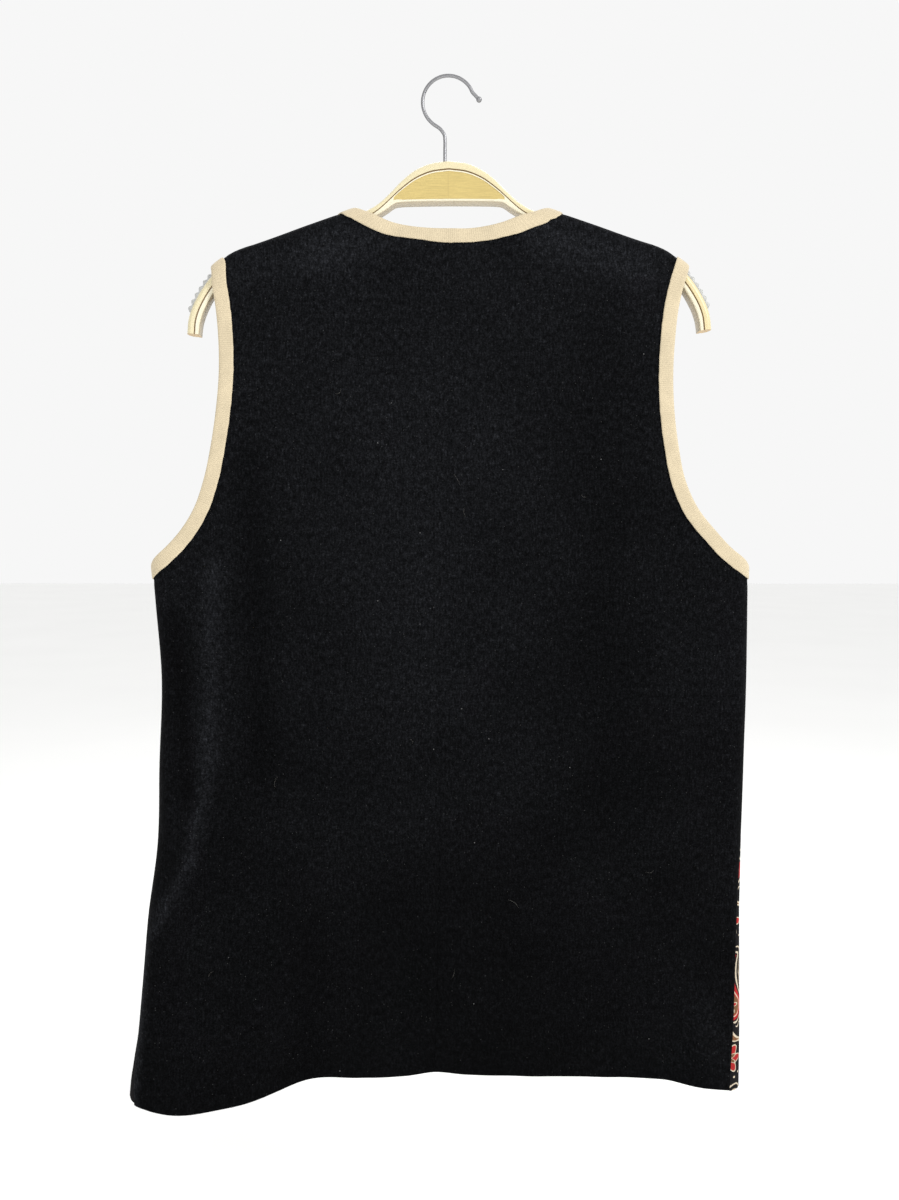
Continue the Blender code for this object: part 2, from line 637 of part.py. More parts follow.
def make_grip(name, side, material):
    """Toothed clear strip on the crown of one arm's end."""
    crown = smooth_line([(x, z) for x, z in zip(HANGER["crown_x"], HANGER["crown_z"]) if x > GRIP_FROM])
    length = np.linalg.norm(np.diff(crown, axis=0), axis=1).sum()
    at, heights = [GRIP_START], [GRIP_BASE]
    for tooth in range(GRIP_TEETH):
        for share, rise in zip(TOOTH["share"], TOOTH["rise"]):
            at.append(GRIP_START + (tooth + share) * GRIP_PITCH)
            heights.append(GRIP_BASE + GRIP_TOOTH * rise)
    at.append(GRIP_START + GRIP_TEETH * GRIP_PITCH)
    heights.append(GRIP_BASE)
    shares = np.array(at) / length
    points, outward = along(crown, shares), along_values(crown, inward(crown, -1), shares)
    half = GRIP_WIDTH / 2
    rings = []
    for point, way, height in zip(points, outward, heights):
        low, high = (hanger_place(side * x, z) for x, z in
                     (point + way * SEAM_GAP, point + way * (SEAM_GAP + height)))
        rings.append([(low[0], -half, low[1]), (low[0], half, low[1]),
                      (high[0], half, high[1]), (high[0], -half, high[1])])
    return make_object(name, loft(rings), material)


def main():
    """Build the whole vest and its hanger in an empty scene."""
    for obj in list(bpy.data.objects):
        bpy.data.objects.remove(obj, do_unlink=True)
    black_cloth = make_material("black_cloth", (0.008, 0.008, 0.010), 0.95)
    print_cloth = make_material("printed_cloth", (0.020, 0.018, 0.018), 0.9)
    beige = make_material("beige_binding", (0.56, 0.45, 0.30), 0.85)
    wood = make_material("laminated_wood", (0.66, 0.46, 0.20), 0.4)
    chrome = make_material("chrome_wire", (0.55, 0.55, 0.56), 0.15, metallic=1.0)
    clear = make_material("clear_grip", (0.85, 0.86, 0.86), 0.25, alpha=0.5)
    for side, name in ((-1, "left"), (1, "right")):
        make_panel("back_" + name, -1, side, black_cloth)
        make_panel("front_" + name, 1, side, print_cloth)
        make_armhole_binding("armhole_binding_" + name, side, beige)
        make_grip("grip_" + name, side, clear)
    make_neck_binding(beige)
    make_hanger(wood)
    make_hook(chrome)


main()
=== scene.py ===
"""Dresses the vest and its hanger: napped cloth, a printed front, ribbed bindings and laminated wood.

Each cloth piece is built again over the same flat cut as its solid. On the flat cloth s runs across
from the middle line and q runs up, both in millimetres, and place() bends that cloth round the
sides and over the shoulders. The vest's back faces -Y and its left side lies at -X.
"""
import math

import bpy
import numpy as np
from bpy.props import FloatProperty, FloatVectorProperty, PointerProperty
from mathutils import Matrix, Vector


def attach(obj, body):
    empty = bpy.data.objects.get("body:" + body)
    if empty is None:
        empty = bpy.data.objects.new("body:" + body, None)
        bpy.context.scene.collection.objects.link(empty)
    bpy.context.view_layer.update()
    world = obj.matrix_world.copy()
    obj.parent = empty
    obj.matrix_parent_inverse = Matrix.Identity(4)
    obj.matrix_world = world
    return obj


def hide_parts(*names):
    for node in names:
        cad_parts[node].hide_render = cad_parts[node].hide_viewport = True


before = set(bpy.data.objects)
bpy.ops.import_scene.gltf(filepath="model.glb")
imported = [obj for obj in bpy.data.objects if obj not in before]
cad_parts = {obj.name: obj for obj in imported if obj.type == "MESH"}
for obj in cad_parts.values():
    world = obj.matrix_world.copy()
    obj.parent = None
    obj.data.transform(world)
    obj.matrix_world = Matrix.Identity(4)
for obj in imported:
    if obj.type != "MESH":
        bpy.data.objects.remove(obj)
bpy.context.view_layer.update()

bl_info = {
    "name": "Vest on a Hanger",
    "version": (1, 0, 0),
    "blender": (4, 5, 0),
    "location": "View3D > Sidebar > Vest",
    "description": "Builds the cloth, bindings, hanger and stage of a bound vest",
    "category": "Object",
}

MM = 0.001
BODY = "root"
CLOTH_MAP, BINDING_MAP = "cloth_flat", "binding_run"
WOOD_UP_MAP, WOOD_DOWN_MAP = "wood_up", "wood_down"

# Cloth and binding, in millimetres; the panels lap a little at their seams
CLOTH = 1.6
BINDING_WIDTH = 12.5
EDGE_INSET = 2.2
SEAM_GAP = -0.1
FRONT_GAP = 3.0
SHOULDER_FOLD = 9.8
HEM_DOUBLE = 0.7
CLOTH_EDGE = 0.3
UNDER_BINDING = 0.25
SEAM_DIP, SEAM_REACH = 0.62, 1.3
EDGE_ROUND = 0.9

# Cloth beside a binding: where it's pressed down, the puckers that fade from it, and its stitched line
PRESS_PAST, PRESS_RUN = 0.5, 1.5
PUCKER_RISE, PUCKER_FADE = 2.0, 9.0
STITCH_PAST, STITCH_REACH = 1.4, 2.4
HEM_STITCH, HEM_STITCH_REACH = 0.12, 1.6

# How far out the lower corners begin to swing forward, how folds fade in and out along their length, and
# the step over which the cloth's slope is taken
SWING_WIDTH, SWING_STILL = 265.0, 0.15
FOLD_OVERRUN, FOLD_RISE, FOLD_FADE = 0.15, 0.4, 0.35
NORMAL_STEP = 0.5

# Main lines of the vest
MIDDLE_TOP, MIDDLE_HEM = 2.2, -12.0
NECK_TOP, HEM_LINE = -126.0, -855.0
NECK_FLAT = 12.0
NECK_POINT = {-1: 79.5, 1: 84.0}
SHOULDER_TIP = {-1: 199.6, 1: 203.8}
PIT = -406.0
YOKE = -377.0
FRONT_SCOOP, SCOOP_TOP, SCOOP_FOOT = 8.0, -170.0, -395.0

# Hanger, and its wire hook with a ball at the tip and a stem let into the wood
HANG_TILT = math.radians(0.74)
HANGER_SHIFT = -0.9
HANGER_THICK = 13.6
WIRE_RADIUS = 1.4
WIRE_SIDES = 20
LOOP_RADIUS = 21.7
LOOP_DEGREES = range(232, 20, -14)
HOOK_END = [(22.3, -14.4), (24.2, -16.4)]
TIP_BALL = 2.3
BALL_DEGREES = (-50, -30, -10, 10, 28, 45, 60, 74)
STEM_LET_IN = 4.0

# Grips: where they lie on the crown, their rounded teeth and their lower ends
GRIP_FROM, GRIP_START = 189.0, 11.5
GRIP_WIDTH, GRIP_BASE, GRIP_FOOT = 5.0, 1.2, -0.45
GRIP_TOOTH, GRIP_TEETH, GRIP_PITCH = 2.0, 6, 6.2
GRIP_STEPS, GRIP_ROUND = 8, 0.7
GRIP_END_SHARE, GRIP_END_RUN = 0.55, 1.2

# Bands of the hanger's face, from the crown down, and the rim below the insert; then the roundings and
# steps of its section, and how the insert fades where the wood is low
STRIP, STRIP_GROWTH, ARM_HEIGHT = 6.8, 0.04, 11.6
GROOVE, CREAM_LINE = 1.2, 1.0
RIM, RIM_FLARE, RIM_FLARE_FROM, INSERT_END = 2.0, 0.16, 38.0, 45.5
BASE_ROUND, BASE_CORNER = 1.5, 0.44
CROWN_ARC = 4.5
RECESS_STEP, GROOVE_STEP = 0.2, 0.16
INSERT_LEAST, RECESS_FROM, RECESS_RUN = 0.9, 0.8, 2.0
PLAIN_SHARES = (0.35, 0.65)
UNDERSIDE_UP = 0.6
CROWN_SIDES, HANGER_STEPS = 10, 6

# Rows and columns of the cloth meshes: steps next to a finished edge, then an even grid; and how often
# the lower grid's ends are moved onto the armhole and the hem
EDGE_STEPS = (0.0, 0.35, 0.9, 1.8, 3.2)
LOWER_HEIGHT, UPPER_HEIGHT, FLAT_WIDTH = 480.0, 262.0, 250.0
FLAT_SHARE = 0.9
BINDING_SPACING, FOLD_SPACING = 2.2, 2.0
FRONT_EDGE_POINTS, MIDDLE_POINTS, MIDDLE_BELOW = 40, 200, 5.0
ARM_TURNS, HEM_TURNS = 8, 3
SHARP_ANGLE = 50.0

SIDE_NAMES = {-1: "left", 1: "right"}

# Share of a back panel's top at which its neck point lies
NECK_COLUMN = 0.48

# How far below the shoulder seam the bindings' sections stay in line with it, in fold radii
ALIGN_FULL, ALIGN_END = 1.7, 2.7

# Narrow places of the back neck binding on each side: distance from the shoulder seam, share of
# the width lost, and reach
NARROWS = {-1: [(16.5, 0.23, 5.0), (56.0, 0.19, 22.0)],
           1: [(20.0, 0.24, 5.0), (34.0, -0.11, 7.0), (75.0, 0.06, 18.0)]}

# Camera; floor; where the room turns from dim to bright; and the lights: place, aim, size and share of
# the key light's power
CAMERA_PLACE, CAMERA_TURN = (-13.34, -794.06, -383.89), (86.2006, -0.0696, -1.0477)
FLOOR_LEVEL, FLOOR_HALF = -1150.0, 15000.0
ROOM_EDGE, CEILING_EDGE = (-0.3, 0.2), (0.5, 0.8)
LIGHTS = [
    ("key_light", (2300, -1900, 1400), (0, 0, -450), 1000, 1.0),
    ("fill_light", (-1200, -2600, 500), (0, 0, -450), 1500, 0.25),
    ("back_light", (300, 1500, 900), (0, 0, -450), 1400, 0.15),
]

# Cloth finishes: fixed sockets, the nap's ribs and tone, with the painted light from above that makes the
# nap lighter towards the top, weights of its noises in the tone and in the height, lint cells per
# millimetre with radius, cut-off and paleness, and the weave inside
NAP_CONSTANTS = {"Roughness": 0.92, "Specular IOR Level": 0.04, "Sheen Weight": 0.025,
                 "Sheen Roughness": 0.35, "Sheen Tint": (0.75, 0.77, 0.82, 1.0)}
RIB_OF_NAP = 1.25
# Heights between which painted light from above makes the black nap lighter towards the top
TOP_LIGHT_LOW, TOP_LIGHT_HIGH = -900.0, -80.0
NAP_LOW, NAP_TOP_LIGHT, NAP_PATCHY, NAP_LEAST = 0.34, 0.70, 0.7, 0.12
BRUSHED_GRAIN, PILE_GRAIN, FLECK_GRAIN, RIB_GRAIN = 3.7, 5.0, 2.8, 0.08
BRUSHED_HEIGHT, PILE_HEIGHT, RIB_HEIGHT = 0.5, 0.55, 0.10
LINT_SIZES = [(0.27, 0.34, 0.72, 0.35), (0.085, 0.50, 0.88, 1.0)]
WEAVE = 0.9

# Wood: fixed sockets, reach of the golden insert, the run over which the strip warms, its layers, and a
# joint in the insert
LACQUER = {"Roughness": 0.4, "Coat Weight": 0.25, "Coat Roughness": 0.25}
PADDLE_REACH = 47.0
WARM_RUN = 200.0
LAYER, LAYER_LINE = 2.3, 0.12
JOINT_AT, JOINT_HALF, JOINT_DARK = -0.6, 0.22, 0.22

# Fixed sockets of the wire and the grips, and the colour of the hairs
CHROME = {"Base Color": (0.32, 0.32, 0.33, 1.0), "Metallic": 1.0, "Specular Tint": (0.10, 0.10, 0.11, 1.0)}
CLEAR = {"Base Color": (0.50, 0.51, 0.50, 1.0), "Roughness": 0.22, "Alpha": 0.62, "IOR": 1.45}
HAIR_COLOR = (0.11, 0.105, 0.095)

# Print, in millimetres: its place on the cloth, its dots, its winding stem, and the stem's leaves
PRINT_SHIFT = (95.5, 10.0)
PLAIN_FROM = 267.0
DOT_CELL, DOT_RADIUS = (10.5, 9.0), 0.75
STEM_SWAY, STEM_CLEAR, STEM_HALF = 6.5, 9.0, 0.55
LEAF_PITCH, LEAF_OUT, LEAF_SLANT, LEAF_LONG, LEAF_WIDE = 14.6, 4.4, 0.55, 3.9, 1.9

# Flowers of the print, and the ring of dots round the large one
FLOWER = {"radius": 13.5, "count": 6, "depth": 0.2}
FLOWER_HEART = {"radius": 7.8, "count": 6, "depth": 0.28, "phase": math.pi}
FLOWER_CLEAR, FLOWER_EYE = 21.0, 2.3
FLOWER_DOTS = {"count": 18, "out": 17.4, "radius": 0.95}

# Drops of the print: how each is turned and moved from its cell, its two radii, length and curl
DROP = {"turn": 24.0, "shift": (5.0, 13.0), "foot": 15.0, "tip": 2.4, "length": 37.0, "curl": 0.62}
SMALL_DROP = {"turn": -150.0, "shift": (-21.0, -30.0), "foot": 6.0, "tip": 1.2, "length": 14.0,
              "curl": -0.6}
DROP_HEART, DROP_EYE = {"radius": 7.2, "count": 5, "depth": 0.3, "phase": 1.0}, 1.9
DROP_CLEAR, SCALLOPS, SCALLOP_DEPTH, SCALLOP_BAND = 8.0, 11, 1.3, (3.2, 4.4)


def table(columns, rows):
    """Named columns of a short table."""
    return {name: np.array([row[i] for row in rows], float) for i, name in enumerate(columns.split())}


# Half widths at the side folds, half the depth of the hanging vest, the angle of each side seam round
# its fold (90 is at the very side, less is on the back) and how far each side swings forward
FORM = table("height left right half_depth left_seam right_seam left_forward right_forward", [
    (-60, 253.0, 259.0, 9.8, 90, 90, 0, 0),
    (-170, 253.0, 259.0, 9.8, 90, 90, 0, 0),
    (-300, 253.5, 259.3, 11.2, 90, 90, 0, 0),
    (-400, 253.6, 259.3, 12.0, 90, 90, 0, 0),
    (-440, 251.0, 260.0, 12.2, 90, 90, 0, 0),
    (-500, 247.2, 260.4, 12.5, 90, 89, 0, 0),
    (-580, 250.3, 259.6, 12.6, 90, 83, 0.5, 0),
    (-650, 252.8, 258.8, 12.6, 90, 68, 2.5, 0.5),
    (-710, 260.5, 258.0, 12.4, 90, 46, 7, 2.5),
    (-760, 263.6, 258.2, 12.2, 88, 32, 14, 5.5),
    (-810, 266.6, 258.0, 12.0, 72, 20, 24, 9.5),
    (-846, 271.2, 257.2, 12.0, 40, 11, 30, 13),
    (-875, 272.6, 256.6, 12.0, 18, 6, 34, 16),
])

# Top line of the shoulders, measured out from the middle of the hanger
SHOULDER = table("out height", [
    (0, -80.0), (60, -101.2), (81, -108.4), (101, -114.9), (121, -121.7), (142, -129.1),
    (162, -135.9), (175, -140.0), (183, -143.6), (190, -148.2), (196, -152.6), (206, -160.0),
])

# Finished edge of each armhole, from the shoulder down to the side seam
ARMHOLE = table("height left right", [
    (-160, 197.6, 201.0), (-172, 196.9, 197.4), (-190, 194.3, 193.6), (-215, 192.3, 190.9),
    (-245, 192.3, 189.5), (-275, 195.0, 190.9), (-305, 199.6, 195.1), (-335, 206.3, 201.9),
    (-358, 214.5, 212.8), (-378, 227.0, 229.3), (-392, 240.0, 242.8), (-400.5, 250.0, 254.0),
    (-405.2, 256.5, 261.4),
])

# Finished neck edge: the scooped back, then the front's V by its half width
BACK_NECK = table("height left right", [
    (-124.6, 31, 27), (-120.8, 48, 43.5), (-114.8, 62, 60), (-110.6, 72.5, 74.5), (-106.2, 77.6, 81.3),
])

FRONT_NECK = table("height half", [
    (-106.2, 79.6), (-118, 76.5), (-150, 68.4), (-200, 54.0), (-250, 38.4), (-300, 21.6),
    (-335, 9.4), (-356, 3.6), (-370, 1.5),
])

# Hem line across the back and across the front
HEM = table("across back front", [
    (-290, -859.5, -859.0), (-277, -858.5, -856.5), (-263, -861.5, -860.5), (-250, -866.0, -862.5),
    (-236, -869.6, -864.0), (-205, -870.4, -863.5), (-172, -866.0, -860.0), (-145, -858.5, -857.0),
    (-122, -853.2, -855.5), (-78, -856.0, -857.5), (-38, -856.8, -859.5), (-12, -852.6, -858.0),
    (14, -855.2, -858.5), (50, -857.0, -857.0), (134, -854.8, -856.0), (190, -856.0, -859.5),
    (216, -861.0, -862.0), (240, -863.2, -863.5), (290, -864.0, -864.0),
])

# Soft folds: face -1 is the back, the ends of each fold, its sideways bow, its height and half width
FOLDS = table("face top_x top_z foot_x foot_z bow height half_width", [
    (-1, -206, -430, -250, -800, 0, 5.0, 24),
    (-1, -120, -560, -160, -880, 0, 3.0, 30),
    (-1, 95, -600, 120, -880, 0, 2.4, 34),
    (-1, 205, -420, 150, -560, 0, 2.2, 22),
    (1, -150, -420, -190, -820, 0, 2.0, 30),
    (1, 120, -430, 170, -800, 0, 1.6, 30),
])

# Smaller creases, drawn over the folds in the same way
CREASES = table("face top_x top_z foot_x foot_z bow height half_width", [
    (-1, -199, -430, -206, -566, 2, 2.4, 8),
    (-1, -205, -560, -242, -720, 4, 3.4, 7),
    (-1, -166, -345, -166, -600, -4, -2.6, 17),
    (-1, -230, -450, -224, -600, 3, -2.2, 10),
    (-1, -222, -760, -236, -850, 2, 1.3, 13),
    (-1, -128, -760, -128, -856, -3, -2.3, 21),
    (-1, -72, -800, -62, -858, 2, 0.9, 17),
    (-1, 196, -330, 204, -560, -3, -1.3, 15),
    (-1, 112, -260, 118, -620, 5, -1.8, 22),
    (-1, 210, -800, 222, -862, 2, 1.4, 9),
    (-1, 190, -815, 196, -860, -1, -1.0, 10),
    (-1, -92, -134, -172, -166, 3, -0.8, 11),
    (-1, 92, -134, 174, -164, -3, -0.7, 12),
    (-1, 236, -415, 168, -505, 5, 1.0, 11),
    (-1, -232, -420, -172, -520, -5, 0.9, 12),
    (-1, 22, -480, -6, -820, 5, 1.2, 44),
    (-1, -40, -168, -58, -330, 4, 0.6, 30),
    (-1, 66, -190, 84, -420, -6, 0.7, 34),
    (-1, 128, -560, 138, -770, 6, -1.0, 20),
    (-1, -96, -420, -108, -640, -5, 0.8, 24),
    (1, -20, -385, -92, -520, 4, 1.4, 13),
    (1, 25, -395, 104, -560, -5, 1.1, 15),
    (1, 60, -600, 52, -850, 4, 1.5, 21),
    (1, -70, -620, -58, -850, -4, -1.3, 19),
    (1, -182, -300, -176, -470, 3, -1.2, 14),
    (1, 188, -310, 176, -520, -4, -1.1, 15),
    (1, -228, -560, -236, -800, 5, 1.4, 12),
    (1, 222, -430, 214, -700, -5, 1.3, 13),
    (1, -120, -180, -150, -330, 3, 0.7, 22),
    (1, 118, -170, 140, -300, -3, 0.8, 20),
    (1, -118, -760, -124, -850, 2, -1.4, 15),
    (1, 176, -740, 186, -860, -3, 1.6, 15),
    (1, 108, -690, 118, -830, 2, -1.0, 16),
])

# Painted highlights and shade on the black nap, along its folds, over its shoulders and at its left edge:
# the ends of each, its half width, lighter (or darker) by this much
PAINTED_LIGHT_MARKS = table("top_s top_q foot_s foot_q half_width lighter", [
    (-199, -410, -206, -584, 9, 0.95), (-207.5, -597, -220, -655, 6.5, 1.20),
    (-222, -664, -256, -722, 6.5, 1.35), (-262, -736, -268, -860, 6, 4.0),
    (-232, -452, -222, -602, 10, -0.45), (-168, -320, -160, -575, 17, -0.38),
    (128, -210, 140, -630, 46, -0.26), (-30, -330, -10, -600, 80, 0.28),
    (-30, -122, -112, -152, 16, 0.55), (-100, -140, -188, -168, 14, 0.30),
    (78, -128, 160, -158, 16, 0.70), (0, -700, 10, -830, 90, -0.26),
    (225, -790, 245, -862, 16, 0.45), (-120, -720, -128, -850, 22, -0.30),
])

# Slow ripples over all the cloth: waves per millimetre across and up, height and phase
RIPPLES = table("across up height phase", [
    (0.0122, 0.0031, 0.30, 0.4), (0.0203, -0.0052, 0.20, 2.1), (0.0068, 0.0097, 0.26, 4.0),
    (0.0311, 0.0071, 0.11, 1.3),
])

# Uneven pulls of the stitched edges: waves per millimetre along an edge and their phase, and how much
# they change a binding's width and height
PULLS = table("wave phase", [(0.071, 0.3), (0.113, 1.9), (0.047, 4.1)])
WIDTH_GIVE, SWELL, SWELL_WAVE, SWELL_START = 0.016, 0.10, 0.6, 40.0

# Half of the folded binding, from its stitched lip to the fold: outer skin, then the skin on the cloth
BINDING_SKIN = table("outer_in outer_lift inner_in inner_lift", [
    (12.32, 1.00, 12.28, 0.82), (12.48, 1.30, 12.00, 0.74), (12.40, 1.66, 11.30, 0.72),
    (11.95, 1.92, 10.20, 0.72), (10.80, 2.04, 9.00, 0.72), (8.80, 2.10, 7.60, 0.72),
    (6.40, 2.14, 6.00, 0.72), (4.20, 2.12, 4.40, 0.72), (2.50, 2.00, 3.20, 0.72),
    (1.30, 1.72, 2.40, 0.68), (0.50, 1.22, 1.90, 0.52), (0.12, 0.62, 1.60, 0.28), (0, 0, 1.5, 0),
])

# Hook stem up to its loop
STEM = table("x z", [(-3, -68), (-3, -58), (-3, -51), (-3.6, -46.6), (-6.4, -42.4)])

# Hanger outline, half of it from the middle to one tip: its crown and its underside
HANGER = table("crown_x crown_z base_x base_z", [
    (0.0, -68.4, 0.0, -103.0), (15.5, -70.6, 15.5, -103.1), (29.3, -76.6, 30.0, -103.3),
    (38.4, -83.6, 39.0, -103.6), (47.5, -92.6, 44.3, -104.2), (58.3, -102.4, 52.0, -109.0),
    (70.0, -109.0, 64.5, -116.6), (82.0, -113.4, 78.0, -123.4), (95.0, -117.2, 91.0, -128.2),
    (108.0, -120.3, 104.0, -131.3), (121.0, -123.6, 117.0, -134.8), (142.0, -131.0, 138.0, -142.0),
    (162.0, -137.8, 157.5, -148.8), (173.0, -142.4, 168.5, -153.2), (183.0, -148.0, 177.5, -158.2),
    (190.0, -152.8, 183.5, -162.6), (196.5, -158.0, 188.8, -167.0), (202.5, -164.2, 194.0, -172.0),
    (208.0, -171.4, 199.2, -178.6), (213.2, -179.6, 203.6, -186.0), (217.6, -188.2, 207.2, -193.6),
    (220.7, -197.8, 209.8, -201.8), (222.0, -209.0, 211.0, -210.5),
])

# Section of a grip from side to side: shares of its half width and of its height
GRIP_SECTION = table("across up", [(-1, 0.55), (-0.78, 0.9), (-0.4, 1), (0.4, 1), (0.78, 0.9), (1, 0.55)])

# Lint hairs: face, where each lies on the flat cloth, its length, heading in degrees and curl
HAIRS = table("face s q length heading curl", [
    (-1, 10, -340, 11, 118, 0.5), (-1, 15, -366, 8, 100, -0.9), (-1, 3, -768, 9, 75, 0.6),
    (-1, -96, -262, 8, 35, 2.4), (-1, 118, -348, 6, 160, -1.5), (-1, -148, -598, 10, 80, -1.1),
    (-1, 172, -672, 8, 10, 2.0), (-1, 62, -705, 12, 140, 0.9), (-1, -205, -760, 7, 55, -1.8),
    (-1, -32, -560, 6, 100, 2.8), (1, 84, -470, 9, 40, 1.7), (1, -122, -640, 8, 125, -1.6),
])
HAIR_RADIUS, HAIR_TIP, HAIR_SIDES, HAIR_STEPS, HAIR_LIFT = 0.07, 0.45, 5, 10, 1.0


def run_along(points):
    """Distance from the first point of a line, along it, at each of its points."""
    return np.concatenate([[0], np.cumsum(np.linalg.norm(np.diff(points, axis=0), axis=1))])


def unit(vectors):
    """Vectors of length 1 with the same headings."""
    return vectors / np.linalg.norm(vectors, axis=-1, keepdims=True)


def read(tab, key, column, at):
    """Smooth curve through one column of a table, read at given places of its key column."""
    order = np.argsort(tab[key])
    x, y = tab[key][order], tab[column][order]
    at = np.clip(at, x[0], x[-1])
    k = np.clip(np.searchsorted(x, at) - 1, 0, len(x) - 2)
    span = x[k + 1] - x[k]
    t = (at - x[k]) / span
    slope = np.gradient(y, x)
    return ((2 * t**3 - 3 * t**2 + 1) * y[k] + (t**3 - 2 * t**2 + t) * span * slope[k]
            + (3 * t**2 - 2 * t**3) * y[k + 1] + (t**3 - t**2) * span * slope[k + 1])


def ease(t):
    """Smooth step from 0 to 1."""
    t = np.clip(t, 0.0, 1.0)
    return t * t * (3 - 2 * t)


def middle(q):
    """The vest's middle line, which leans a little as it hangs."""
    return MIDDLE_TOP + (MIDDLE_HEM - MIDDLE_TOP) * (q - NECK_TOP) / (HEM_LINE - NECK_TOP)


def shoulder(x):
    """Height of the shoulders' top line, tilted as the hanger is."""
    return read(SHOULDER, "out", "height", np.abs(x + HANGER_SHIFT)) + HANG_TILT * x


def seam_top(s):
    """Where the shoulder seam lies on the flat cloth."""
    return shoulder(s) + SHOULDER_FOLD * (math.pi / 2 - 1)


def flat_reach(s, q):
    """Where the flat part of each face ends, and the radius of the fold beyond it."""
    width = np.where(s < 0, read(FORM, "height", "left", q), read(FORM, "height", "right", q))
    depth = read(FORM, "height", "half_depth", q)
    return width - CLOTH / 2 - depth, depth


def forward(x, z):
    """How far the cloth swings forward, more towards each lower corner."""
    swings = []
    for side, name in SIDE_NAMES.items():
        out = (side * x / SWING_WIDTH - SWING_STILL) / (1 - SWING_STILL)
        swings.append(read(FORM, "height", name + "_forward", z) * ease(out))
    return sum(swings)


def fold_rise(folds, face, x, z):
    """Outward rise of one table of soft folds."""
    rise = np.zeros(np.broadcast(x, z).shape)
    for values in zip(*folds.values()):
        row = dict(zip(folds, values))
        run = np.array([row["foot_x"] - row["top_x"], row["foot_z"] - row["top_z"]])
        length = np.hypot(*run)
        dx, dz = x - row["top_x"], z - row["top_z"]
        t = (dx * run[0] + dz * run[1]) / length**2
        off = (dx * run[1] - dz * run[0]) / length + row["bow"] * np.sin(math.pi * np.clip(t, 0, 1))
        fade = ease((t + FOLD_OVERRUN) / FOLD_RISE) * ease((1 + FOLD_OVERRUN - t) / FOLD_FADE)
        height = np.where(face == row["face"], row["height"], 0)
        rise += height * fade * np.exp(-(off / row["half_width"])**2)
    return rise


def relief(face, x, z):
    """Outward rise of folds, creases and slow ripples on one face."""
    settings = bpy.context.scene.vest_cloth
    ripple = sum(height * np.sin(math.tau * (across * x + up * z) + phase + face)
                 for across, up, height, phase in zip(*RIPPLES.values()))
    return fold_rise(FOLDS, face, x, z) + settings.crease_depth * (fold_rise(CREASES, face, x, z) + ripple)


def hang(face, s, q):
    """A point of the cloth's middle layer; face is -1 on the back and 1 on the front."""
    flat, depth = flat_reach(s, q)
    turn = np.maximum(np.abs(s) - flat, 0) / depth
    x = np.sign(s) * (np.minimum(np.abs(s), flat) + depth * np.sin(turn))
    start = shoulder(x) - SHOULDER_FOLD
    over = np.maximum(q - start, 0) / SHOULDER_FOLD
    z = np.minimum(q, start) + SHOULDER_FOLD * np.sin(over)
    facing = np.cos(turn) * np.cos(over)
    rise = relief(np.where(facing < 0, -face, face), x, z) * np.abs(facing)
    y = face * facing * depth + np.sign(face * facing) * rise - forward(x, z)
    return np.stack(np.broadcast_arrays(x, y, z), axis=-1)


def place(face, s, q, lift=0.0):
    """A point of the hung cloth, moved outward from its middle layer by lift."""
    s, q, lift = np.broadcast_arrays(np.asarray(s, float), np.asarray(q, float), np.asarray(lift, float))
    across = hang(face, s + NORMAL_STEP, q) - hang(face, s - NORMAL_STEP, q)
    upward = hang(face, s, q + NORMAL_STEP) - hang(face, s, q - NORMAL_STEP)
    normal = unit(np.cross(across, upward) * -face)
    return hang(face, s, q) + normal * lift[..., None]


def smooth_line(points, steps=24):
    """A smooth line through points, by chord length."""
    points = np.array(points, float)
    chord = run_along(points)
    columns = {"at": chord, "s": points[:, 0], "q": points[:, 1]}
    at = np.linspace(0, chord[-1], steps * (len(points) - 1) + 1)
    return np.stack([read(columns, "at", "s", at), read(columns, "at", "q", at)], axis=1)


def along(line, fractions):
    """Points of a line at fractions of its length."""
    return along_values(line, line, fractions)


def along_values(line, values, fractions):
    """Values kept with a line's points, read at fractions of its length."""
    chord = run_along(line)
    at = np.asarray(fractions) * chord[-1]
    return np.stack([np.interp(at, chord, values[:, i]) for i in (0, 1)], axis=1)


def inward(line, side):
    """Unit normals of a flat line, on its right (side 1) or left (side -1)."""
    run = unit(np.gradient(line, axis=0))
    return np.stack([run[:, 1], -run[:, 0]], axis=1) * side


def inset(line, side, by=EDGE_INSET):
    """A flat line moved into its panel."""
    return line + inward(line, side) * by


def armhole_line(face, side):
    """Finished armhole edge on the flat cloth, from the side seam up to the shoulder seam."""
    tip = SHOULDER_TIP[side]
    rows = [(tip, seam_top(side * tip))]
    for height, half in zip(ARMHOLE["height"], ARMHOLE[SIDE_NAMES[side]]):
        t = (SCOOP_TOP - height) / (SCOOP_TOP - SCOOP_FOOT)
        scoop = FRONT_SCOOP * math.sin(math.pi * min(max(t, 0), 1))**2 if face > 0 else 0
        rows.append((half - scoop, height))
    rows.append((abs(side_seam(face, side, PIT)), PIT))
    return smooth_line([(side * s, q) for s, q in rows[::-1]])


def side_seam(face, side, q):
    """Where a side seam lies on the flat cloth of one face."""
    flat, depth = flat_reach(side, q)
    angle = np.radians(read(FORM, "height", SIDE_NAMES[side] + "_seam", q))
    return side * (flat + depth * (angle if face < 0 else math.pi - angle))


def back_neck_line(side):
    """Finished back neck edge, from the middle out to the shoulder seam."""
    halves = zip(BACK_NECK["height"], BACK_NECK[SIDE_NAMES[side]])
    rows = [(middle(NECK_TOP), NECK_TOP), (middle(NECK_TOP) + side * NECK_FLAT, NECK_TOP)]
    rows += [(side * half, height) for height, half in halves]
    rows.append((side * NECK_POINT[side], seam_top(side * NECK_POINT[side])))
    return smooth_line(rows)


